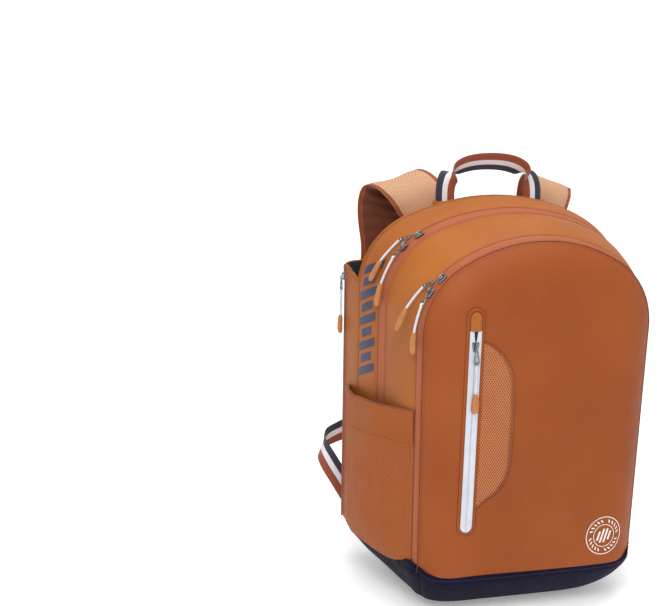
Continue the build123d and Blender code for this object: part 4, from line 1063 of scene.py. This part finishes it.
for n_ in ("base_board", "compartment_divider", "racket_divider"):
    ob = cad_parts[n_]
    for sl_ in ob.material_slots: sl_.material = LINEN

# ------------------------------------------------------------------ carry handle
HY, HZ = 62.0, 472.4
hp, hw_ = [], []
for i in range(49):
    t = i / 48; a = math.pi * t
    ca = math.cos(a); hp.append((-58 * math.copysign(abs(ca) ** 0.86, ca) * (1 + 0.11 * math.sin(a)) - 3.5 * math.sin(a), HY - 1.0 * math.sin(a), HZ + 47.5 * math.sin(a) ** 0.72 if 0 < i < 48 else HZ))
    turn = math.radians(90) * min(1.0, max(0.0, (math.sin(a) - 0.25) / 0.65)); c_, q_ = math.cos(turn), math.sin(turn)
    hw_.append((c_ * (1 if t < 0.5 else -1), -q_ * 0.45, q_ * 0.90))
hw_ = np.array(hw_)
for i in range(1, len(hw_)):
    if hw_[i - 1] @ hw_[i] < 0: hw_[i] = -hw_[i]
hp = np.array(hp)
hp = np.vstack([hp[0] + [0, 0, -7], hp, hp[-1] + [0, 0, -7]]); hw_ = np.vstack([hw_[0], hw_, hw_[-1]])
hp, hw_ = resample(hp, 90, hw_)
for _ in range(26):
    hw_[1:-1] = (hw_[:-2] + 2 * hw_[1:-1] + hw_[2:]) / 4
    hp[2:-2] = (hp[1:-3] + 2 * hp[2:-2] + hp[3:-1]) / 4
web = ribbon("handle_strap", hp, hw_, 25.0, 1.9, [WEB], cols=15)
s_ = web.modifiers.new("smooth", "SUBSURF"); s_.levels = s_.render_levels = 1
apply_mods(web)
put(web, None, "handle_webbing", slot="webbing_striped")
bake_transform(web)

# ------------------------------------------------------------------ shoulder straps and lower webbing
def strap_path(s):
    if s < 0:
        c = [(-60, 119.9, 446), (-65, 120.2, 459), (-73, 124.5, 472), (-82, 136, 481), (-92, 150.5, 482), (-99, 163, 472), (-99.5, 169.3, 444), (-92, 171, 392), (-97, 170, 335), (-107, 165, 275), (-114, 160, 226)]
        tl = [0.34, 0.36, 0.36, 0.33, 0.30, 0.24, 0.18, 0.12, 0.1, 0.07, 0.0]
    else:
        c = [(102, 119.9, 446), (105, 120.2, 458), (110, 124, 470), (114.5, 132, 477.5), (117.5, 145, 479), (119.5, 158, 469), (121, 167, 444), (120, 171, 392), (118, 170, 330), (116, 165, 272), (114, 160, 226)]
        tl = [-0.40, -0.42, -0.42, -0.38, -0.32, -0.24, -0.14, -0.06, -0.02, 0.0, 0.0]
    return np.array(c, float), np.array([(1, 0, t) for t in tl], float)

SIM = []
def add_cloth(o, pins, pressure=4.0, shrink=0.0, tension=18.0, bend=1.2):
    vg = o.vertex_groups.new(name="pin")
    for i, w_ in enumerate(pins):
        if w_ > 0: vg.add([i], float(w_), "REPLACE")
    m = o.modifiers.new("cloth", "CLOTH"); st_ = m.settings
    st_.quality = 5; st_.mass = 0.3; st_.tension_stiffness = tension; st_.compression_stiffness = tension; st_.shear_stiffness = 5; st_.bending_stiffness = bend
    st_.use_pressure = True; st_.uniform_pressure_force = pressure; st_.vertex_group_mass = "pin"; st_.shrink_min = shrink
    st_.effector_weights.gravity = 0.0; st_.air_damping = 4.0
    m.collision_settings.use_collision = False; m.collision_settings.use_self_collision = False
    m.point_cache.frame_start, m.point_cache.frame_end = 1, 40
    SIM.append((o, m))

STRAPS = {}
for s, nme in ((-1, "left"), (1, "right")):
    c_, w_ = strap_path(s)
    P = catmull(c_, 9); W = catmull(w_, 9)
    P, W = resample(P, 150, W)
    for _ in range(2):
        P[1:-1] = (P[:-2] + 2 * P[1:-1] + P[2:]) / 4
    T = frames_along(P); W = W - T * np.sum(W * T, 1, keepdims=True); W /= np.linalg.norm(W, axis=1, keepdims=True)
    N = np.cross(T, W)
    D = np.r_[0, np.cumsum(np.linalg.norm(np.diff(P, axis=0), axis=1))]
    a = np.r_[-1, -.985, -.94, -.88, -.85, -.80, np.linspace(-.68, .68, 15), .80, .85, .88, .94, .985, 1]
    def hh(a_, L_, side):
        k = np.clip(1 - (np.abs(a_) / 0.87) ** 3.2, 0, 1) ** 0.55
        h_ = 1.0 + 4.4 * k
        h_ = np.where(np.abs(a_) > .985, 0.35, h_)
        if side > 0:   # wearer's side gathers into folds over the shoulder bend
            g_ = np.exp(-((L_ - 78) / 48.0) ** 2) + 0.35 * np.exp(-((L_ - 170) / 60.0) ** 2)
            h_ = h_ + k * g_ * 3.6 * (np.sin(L_ / 2.9 + 2.6 * a_ * s + 0.8 * math.sin(L_ / 17)) * 0.8)
        else:
            h_ = h_ + k * 0.25 * np.sin(L_ / 11.0 + a_)
        return h_
    rows_, fm = [], []
    for i in range(len(P)):
        wd = 35.0 * (1.0 if D[-1] - D[i] > 48 else 0.50 + 0.50 * math.sin(math.pi / 2 * max(0, (D[-1] - D[i]) / 48)))
        wd *= 1.0 if D[i] > 18 else 0.93 + 0.07 * D[i] / 18
        up = P[i] + W[i] * (a * wd)[:, None] + N[i] * hh(a, D[i], 1)[:, None]
        dn = P[i] + W[i] * (a[::-1] * wd)[:, None] - N[i] * hh(a[::-1], D[i], -1)[:, None]
        rows_.append(np.vstack([up, dn]))
    G = np.array(rows_); r_, cc = G.shape[:2]
    F = grid_faces(r_, cc, True, False)
    na_ = len(a)
    fmat = []
    for i in range(r_ - 1):
        for j in range(cc):
            if j < na_ - 1: side, am = 0, (a[j] + a[j + 1]) / 2
            elif j == na_ - 1 or j == cc - 1: side, am = 2, 1
            else: jj = cc - 1 - j; side, am = 1, (a[max(jj, 0)] + a[max(jj - 1, 0)]) / 2
            fmat.append(2 if abs(am) > 0.85 or side == 2 else (0 if side == 0 else 1))
    F.append(list(range(cc))[::-1]); F.append([(r_ - 1) * cc + j for j in range(cc)]); fmat += [2, 2]
    # material 0 on the +N face is the darker clay copy, painted shade on the strap face that is seen in shadow
    o = mesh_obj("strap_pad_" + nme + "_soft", G.reshape(-1, 3), F, [STRAP_SHADED_CLAY, AIR, BIND], None, True, fmat)
    fix_out(o)
    aa = np.abs(np.r_[a, a[::-1]])
    pins = np.repeat(np.where(aa > 0.84, 1.0, np.where(aa > 0.79, 0.5, 0.0))[None], r_, 0)
    pins[:5] = 1; pins[-5:] = 1
    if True: add_cloth(o, pins.ravel(), pressure=3.0)
    STRAPS[nme] = (o, P, W, N, D, s)

# back pads and lumbar pad: foam under spacer mesh with sewn channels
def pad_soft(name, x0, x1, z0, z1, y0, y1, r, channels):
    cx, cz, hx, hz = (x0 + x1) / 2, (z0 + z1) / 2, (x1 - x0) / 2, (z1 - z0) / 2
    an = np.linspace(0, 2 * math.pi, 120, endpoint=False)
    ring_ = []
    for t in an:
        # rounded rectangle by marching the box and easing the corners
        cu_, su_ = math.cos(t), math.sin(t)
        k = 1 / max(abs(cu_) / hx, abs(su_) / hz)
        ring_.append((cu_ * k, su_ * k))
    ring_ = np.array(ring_)
    d = np.maximum(np.abs(ring_) - np.array([hx - r, hz - r]), 0)
    l = np.linalg.norm(d, axis=1, keepdims=True)
    m_ = np.where(l > 0, r / np.maximum(l, 1e-6), 1)
    q = np.where((d.min(1, keepdims=True) > 0), np.sign(ring_) * (np.array([hx - r, hz - r]) + d * m_), ring_)
    ring_ = q
    lev = []
    for k, yy in ((0.0, 0.0), (0.6, 0.0), (0.97, 0.0), (1.0, .12), (1.0, .45), (.985, .72), (.96, .88), (.92, .95), (.85, 1.0), (.74, 1.02), (.62, 1.03), (.5, 1.04), (.38, 1.04), (.26, 1.04), (.14, 1.04), (0.02, 1.04)):
        P_ = np.stack([cx + ring_[:, 0] * k, np.full(len(ring_), y0 + (y1 - y0) * yy), cz + ring_[:, 1] * k], -1)
        lev.append(P_)
    G = np.array(lev)
    dep = np.zeros(G.shape[:2])
    for ax, pos in channels:
        v = G[..., 0] if ax == "x" else G[..., 2]
        dep = np.maximum(dep, np.exp(-((v - pos) / 3.0) ** 2))
    topm = np.zeros(G.shape[:2]); topm[8:] = 1; topm[7] = 0.6
    G[..., 1] -= dep * topm * 4.0
    o = grid_obj(name, G, [AIR], cu=True)
    bm = bmesh.new(); bm.from_mesh(o.data); bmesh.ops.remove_doubles(bm, verts=bm.verts, dist=1e-6); bmesh.ops.holes_fill(bm, edges=bm.edges, sides=0); bmesh.ops.recalc_face_normals(bm, faces=bm.faces); bm.to_mesh(o.data); bm.free()
    co = np.zeros(len(o.data.vertices) * 3); o.data.vertices.foreach_get("co", co); co = co.reshape(-1, 3) / MM
    pn = np.where(co[:, 1] < y0 + (y1 - y0) * 0.2, 1.0, 0.0)
    for ax, pos in channels:
        v = co[:, 0] if ax == "x" else co[:, 2]
        pn = np.maximum(pn, np.where(np.abs(v - pos) < 2.2, 1.0, 0.0))
    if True: add_cloth(o, pn, pressure=2.5)
    return o
PADS = [("back_pad_left", pad_soft("back_pad_left_soft", -138, -22, 170, 372, 112, 124, 26, [("z", 222), ("z", 271), ("z", 320)]), "pack"),
        ("back_pad_right", pad_soft("back_pad_right_soft", 22, 138, 170, 372, 112, 124, 26, [("z", 222), ("z", 271), ("z", 320)]), "pack"),
        ("lumbar_pad", pad_soft("lumbar_pad_soft", -120, 120, 76, 150, 112, 125.5, 24, [("x", -60), ("x", 0), ("x", 60)]), "pack")]

if SIM:
    sc = bpy.context.scene
    sc.frame_start, sc.frame_end = 1, 20
    for f in range(1, 17):
        sc.frame_set(f)
    for o, m in SIM:
        dg = bpy.context.evaluated_depsgraph_get()
        me = bpy.data.meshes.new_from_object(o.evaluated_get(dg), depsgraph=dg)
        old = o.data; o.modifiers.clear(); o.data = me; o.vertex_groups.clear(); bpy.data.meshes.remove(old)
        # cloth bulges are capped so that the foam keeps its size
    sc.frame_set(1)

for nme, (o, P, W, N, D, s) in STRAPS.items():
    m = o.modifiers.new("smooth", "SUBSURF"); m.levels = m.render_levels = 1
    apply_mods(o)
    put(o, None, "strap_pad_" + nme, slot="strap_clay")
    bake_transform(o)
    st_ = []
    for sd, sg in ((1, 1), (1, -1), (-1, 1), (-1, -1)):
        L = []
        for i in range(1, len(P) - 1):
            wd = 35.0 * (1.0 if D[-1] - D[i] > 48 else 0.50 + 0.50 * math.sin(math.pi / 2 * max(0, (D[-1] - D[i]) / 48)))
            L.append(P[i] + W[i] * (sg * .905 * wd) + N[i] * (sd * 1.15))
        st_.append(stitches("ss", np.array(L), N[1:-1] * sd, THREADD, pitch=3.4, length=2.5, rad=0.32))
    q = join("strap_stitching_" + nme, st_)
    put(q, None, slot="strap_clay")
    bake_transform(q)
for node, o, body in PADS:
    m = o.modifiers.new("smooth", "SUBSURF"); m.levels = m.render_levels = 1
    apply_mods(o)
    put(o, body, node, slot="air_mesh_peach")

LW = [(-150, 115.2, 78), (-159, 115.8, 93), (-167.5, 117, 107), (-175, 119.5, 119.5), (-180, 124.5, 129.5), (-182, 132.5, 136), (-180.5, 141.5, 140), (-175, 149.5, 144.5), (-166, 154.5, 149), (-151, 157.5, 154), (-135, 159.2, 161), (-121.5, 159.9, 173), (-114.8, 160, 187), (-114, 160, 201)]
LWW = [(-.8, 0, -.58), (-.8, 0, -.58), (-.78, .03, -.6), (-.74, .12, -.65), (-.66, .28, -.69), (-.5, .4, -.75), (-.2, .42, -.86), (.1, .3, -.92), (.34, .05, -.9), (.42, -.1, -.88), (.47, -.12, -.86), (.72, -.05, -.6), (.97, 0, -.15), (1, 0, 0)]
for s, nme in ((-1, "left"), (1, "right")):
    mir = np.array([-s, 1, 1.0]) if s > 0 else np.array([1, 1, 1.0])
    P = np.array(LW, float) * mir; W = np.array(LWW, float) * mir
    P = np.vstack([P[0] + (P[0] - P[1]) * 0.9 * np.array([1, 0.4, 1]), P]); W = np.vstack([W[0], W])
    P, W = resample(catmull(P, 8), 80, catmull(W, 8))
    T = frames_along(P)
    for _ in range(4): W[1:-1] = (W[:-2] + 2 * W[1:-1] + W[2:]) / 4
    W = W - T * np.sum(W * T, 1, keepdims=True); W /= np.linalg.norm(W, axis=1, keepdims=True)
    o = ribbon("lower_strap_" + nme, P, W, 25.0, 1.8, [WEB], cols=15)
    m = o.modifiers.new("smooth", "SUBSURF"); m.levels = m.render_levels = 1
    apply_mods(o)
    put(o, None, "lower_webbing_" + nme, slot="webbing_striped")
    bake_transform(o)

# ------------------------------------------------------------------ zip sliders, pullers, cords and grips
def unit(v):
    v = np.asarray(v, float); return v / np.linalg.norm(v)

def make_slider(name, p, run, out):
    run = unit(run); out = np.asarray(out, float); out = unit(out - run * (out @ run)); w = np.cross(run, out)
    p = np.asarray(p, float)
    def at(a, b, c): return p + run * a + w * b + out * c
    # shield body with a narrow tail and two shoulders
    shp = [(-6.0, 2.6), (-5.2, 3.1), (-1.5, 3.9), (1.0, 4.6), (4.6, 4.6), (5.8, 3.9), (6.0, 2.2), (5.0, 0.9), (4.4, 0), ]
    loop_ = shp + [(a, -b) for a, b in shp[::-1][1:]]
    V, F = [], []
    n = len(loop_)
    for c in (0.0, 1.9):
        for a, b in loop_: V.append(at(a, b, c))
    F.append(list(range(n))[::-1]); F.append([n + i for i in range(n)])
    for i in range(n): F.append((i, (i + 1) % n, n + (i + 1) % n, n + i))
    body = mesh_obj("sb", V, F, [METAL]); fix_out(body)
    b = body.modifiers.new("b", "BEVEL"); b.width = 0.45 * MM; b.segments = 3; b.limit_method = "ANGLE"; b.angle_limit = math.radians(35)
    # crown: arch that the puller hangs in
    L = [at(-4.2, 0, 1.5), at(-4.0, 0, 3.2), at(-2.6, 0, 4.3), at(0, 0, 4.7), at(2.6, 0, 4.3), at(4.0, 0, 3.2), at(4.2, 0, 1.5)]
    crown = tube_mesh("sc", catmull(np.array(L), 5), 0.85, [METAL], sides=10)
    ridge = tube_mesh("sr", np.array([at(-4.6, 0, 1.9), at(-2, 0, 2.25), at(2, 0, 2.25), at(4.4, 0, 1.9)]), 0.7, [METAL], sides=8)
    return join(name, [body, crown, ridge])

def make_puller(name, a, b, wide, crown_at, bead):
    a, b = np.asarray(a, float), np.asarray(b, float)
    t = unit(b - a); L = np.linalg.norm(b - a)
    w = np.asarray(wide, float); w = unit(w - t * (w @ t)); m = np.cross(t, w)
    prof = [(0.0, 0.0), (0.04, 0.9), (0.14, 1.45), (0.35, 1.9), (0.6, 2.7), (0.82, 3.0), (0.95, 2.3), (1.0, 0.0)]
    pts = [a + t * (L * x) + w * y for x, y in prof] + [a + t * (L * x) - w * y for x, y in prof[::-1][1:-1]]
    c = np.array(pts); c = resample(c, 64, closed=True)
    for _ in range(3): c = (np.roll(c, 1, 0) + 2 * c + np.roll(c, -1, 0)) / 4
    ring_ = tube_mesh("pr", c, 0.78, [METAL], sides=10, closed=True)
    # cross bar and small link to the crown
    bar_ = tube_mesh("pb", np.array([a + t * (L * .42) - w * 2.0, a + t * (L * .42) + w * 2.0]), 0.6, [METAL], sides=8)
    an = np.linspace(0, 2 * math.pi, 24, endpoint=False)
    cc = a - t * 0.6
    link = np.array([cc + t * (1.9 * math.cos(x)) + m * (1.5 * math.sin(x)) for x in an])
    lk = tube_mesh("pl", link, 0.5, [METAL], sides=8, closed=True)
    objs_ = [ring_, bar_, lk]
    # cord end: crimped sleeve over the bar end
    rr = [(0, .9), (0.15, 1.7), (0.5, 2.1), (0.85, 1.75), (1, 1.2)]
    sl_p = np.array([b - t * 3.6 + t * (4.6 * x) for x, _ in rr])
    slv = tube_mesh("ps", resample(sl_p, 12), 1, [INKW if bead else METAL], sides=12, rad=np.interp(np.linspace(0, 1, 12), [x for x, _ in rr], [y for _, y in rr]))
    objs_.append(slv)
    return join(name, objs_)

def make_grip(name, c, d, wide, width=9.2, thick=6.0, bend=0.0):
    c, d = np.asarray(c, float), np.asarray(d, float)
    t = unit(d - c); L = np.linalg.norm(d - c)
    w = np.asarray(wide, float); w = unit(w - t * (w @ t)); m = np.cross(t, w)
    n = 60
    V = []
    for i in range(n):
        x = i / (n - 1)
        k = float(np.interp(x, [0, .03, .12, .28, .5, .75, .92, .975, 1], [.30, .42, .62, .84, .98, 1.0, .86, .62, .2]))
        kt = float(np.interp(x, [0, .03, .12, .28, .5, .75, .92, .975, 1], [.55, .7, .85, .95, 1.0, .96, .8, .55, .2]))
        gro = 0.0
        for gx in (.38, .46, .54, .62): gro += math.exp(-((x - gx) / 0.016) ** 2)
        p = c + t * (L * x) + w * (bend * math.sin(math.pi * x)) + m * (0.4 * math.sin(math.pi * x * 1.2))
        for a_ in np.linspace(0, 2 * math.pi, 28, endpoint=False):
            ca, sa = math.cos(a_), math.sin(a_)
            e = 0.72
            bx = np.sign(ca) * abs(ca) ** e * width / 2 * k * (1 - 0.03 * gro); by = np.sign(sa) * abs(sa) ** e * (thick / 2 * kt) * (1 - 0.16 * gro)
            V.append(p + w * bx + m * by)
    F = grid_faces(n, 28, True, False); F.append(list(range(28))[::-1]); F.append([(n - 1) * 28 + j for j in range(28)])
    o = mesh_obj(name, V, F, [GRIP]); fix_out(o)
    return o

def make_cord(name, route, mat=CORD, r=0.0015):
    cu = bpy.data.curves.new(name, "CURVE"); cu.dimensions = "3D"
    sp_ = cu.splines.new("NURBS"); sp_.points.add(len(route) - 1)
    for q, p in zip(sp_.points, route): q.co = (*[v * MM for v in p], 1.0)
    sp_.order_u = 3; sp_.use_endpoint_u = True; sp_.resolution_u = 16
    cu.bevel_depth = r; cu.bevel_resolution = 4; cu.use_fill_caps = True
    cu.materials.append(mat)
    o = bpy.data.objects.new(name, cu); COL.objects.link(o)
    return o

def arc_dirs(deg):
    a_ = math.radians(deg); return (math.sin(a_), 0, math.cos(a_)), (-math.cos(a_), 0, math.sin(a_))
sl98 = TAPER / (knot(98.0)[2] - BOOT_H)
PULLS = {
 "front_zip_a": dict(p=(-120.413, -93.5, 407.414), dirs=arc_dirs(43.0), a=(-129.96, -90.5, 404.365), cord=[(-138.801, -83.5, 397.369), (-148.838, -81.0, 385.613), (-156.616, -78.5, 371.853)], d=None, w=(0, -1, 0), bend=1.0),
 "front_zip_b": dict(p=(-132.977, -93.5, 391.918), dirs=arc_dirs(30.5), a=(-140.225, -95.0, 386.127), cord=[(-145.233, -95.5, 377.646), (-150.53, -95.75, 362.751), (-152.785, -96.0, 346.979)], d=None, w=(0, -1, 0), bend=-0.8),
 "main_zip_a": dict(p=(-116.374, -6.5, 441.999), dirs=arc_dirs(57.5), a=(-126.678, -3.5, 441.228), cord=[(-137.268, 3.5, 435.036), (-148.891, 6.0, 423.641), (-158.164, 8.5, 410.118)], d=None, w=(0, -1, 0), bend=1.0),
 "main_zip_b": dict(p=(-134.271, -6.5, 428.402), dirs=arc_dirs(44.0), a=(-142.911, -8.0, 424.191), cord=[(-149.631, -8.5, 415.507), (-157.818, -8.75, 401.52), (-163.104, -9.0, 386.148)], d=None, w=(0, -1, 0), bend=-0.8),
 "front_pocket": dict(p=(-88, -120.9, 334), dirs=((0, 0, 1), (0, -1, 0)), a=(-88, -126.4, 331), cord=[(-87.2, -126.2, 314), (-86.2, -126.4, 297), (-86.4, -125.8, 280)], d=None, w=(1, 0, 0), bend=0.3),
 "racket_zip": dict(p=(-171.261, 98, 374), dirs=((-sl98, 0, 1), (-1, 0, -sl98)), a=(-176.661, 98, 371.5), cord=[(-176.261, 98.6, 357), (-176.261, 99.4, 341), (-175.661, 99.6, 324)], d=None, w=(0, -1, 0), bend=0.3),
}
for n_, q in PULLS.items():
    sb, pb = n_ + "_slider", n_ + "_pull"
    o = make_slider(n_ + "_body", np.array(q["p"], float) + (unit(q["dirs"][1]) * 0.6 if n_.endswith("_b") else 0.0), *q["dirs"]); put(o, sb, n_ + "_slider", slot="zip_metal")
    o = make_puller(n_ + "_ring", q["a"], q["cord"][0], q["w"], None, n_.endswith("_b")); put(o, pb, n_ + "_puller", slot="zip_metal")
    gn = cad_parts[n_ + "_grip"]
    V = np.array([v.co for v in gn.data.vertices]) / MM
    c = np.array(q["cord"][-1]); far = V[np.argsort(-np.linalg.norm(V - c, axis=1))[:8]].mean(0)
    g = make_grip(n_ + "_tab", c, far + unit(c - far) * 0.3, q["w"], bend=q["bend"]); put(g, pb, n_ + "_grip", slot="grip_tan")
    cd = make_cord(n_ + "_lace", q["cord"]); put(cd, pb, n_ + "_cord", slot="cord_white")
    Lc = sum(np.linalg.norm(np.array(b_) - np.array(a_)) for a_, b_ in zip(q["cord"], q["cord"][1:]))
    [v * MM for v in q["cord"][0]]

# ------------------------------------------------------------------ floor, backdrop and light
fl = []
nx_, ny_ = 60, 60
xs = np.linspace(-3000, 3000, nx_); ysf = np.linspace(-2600, 2600, ny_)
G = []
for y in ysf:
    t = max(0.0, (y - 1000) / 1600)
    G.append([(x, min(y, 1000) + 900 * math.sin(min(t, 1) * math.pi / 2), 900 * (1 - math.cos(min(t, 1) * math.pi / 2)) + 0.0) for x in xs])
FLOORM = NT_("paper_white")
nz = FLOORM.noise(18.0, 3, 0.5)
FLOORM.set(Base_Color=FLOORM.ramp(nz, [(0.3, (0.94, 0.94, 0.943)), (0.7, (0.96, 0.96, 0.96))]), Roughness=FLOORM.ramp(nz, [(0.3, (0.7,) * 3), (0.7, (0.8,) * 3)]))
FLOORM.b.inputs["Specular IOR Level"].default_value = 0.1
FLOORM.b.inputs["Emission Color"].default_value = (1, 1, 1, 1); FLOORM.b.inputs["Emission Strength"].default_value = 0.26
floor = grid_obj("floor", np.array(G), [FLOORM.m])

def area(name, loc, target, size, power, col=(1, 1, 1), sy=None):
    l = bpy.data.lights.new(name, "AREA"); l.energy = power; l.color = col
    l.shape = "RECTANGLE"; l.size = size; l.size_y = sy or size
    o = bpy.data.objects.new(name, l); COL.objects.link(o)
    o.location = loc
    d = Vector(target) - Vector(loc)
    o.rotation_euler = d.to_track_quat("-Z", "Y").to_euler()
    return o
L_ = [area("key", (-0.62, -0.98, 1.30), (0, 0, 0.36), 0.7, 13.5, (1.0, 0.985, 0.96)),
      area("front", (0.15, -2.6, 0.9), (0, 0, 0.22), 1.6, 0.6, (1, 1, 1)),
      area("top", (0.2, 0.1, 2.3), (0, 0, 0.3), 1.6, 28, (1, 1, 1)),
      area("right", (2.2, -0.8, 0.9), (0, 0, 0.25), 1.2, 5, (0.97, 0.98, 1.0))]
w = bpy.data.worlds.new("world"); bpy.context.scene.world = w; w.use_nodes = True
bg = w.node_tree.nodes["Background"]; bg.inputs[0].default_value = (1, 1, 1, 1); bg.inputs[1].default_value = 0.53
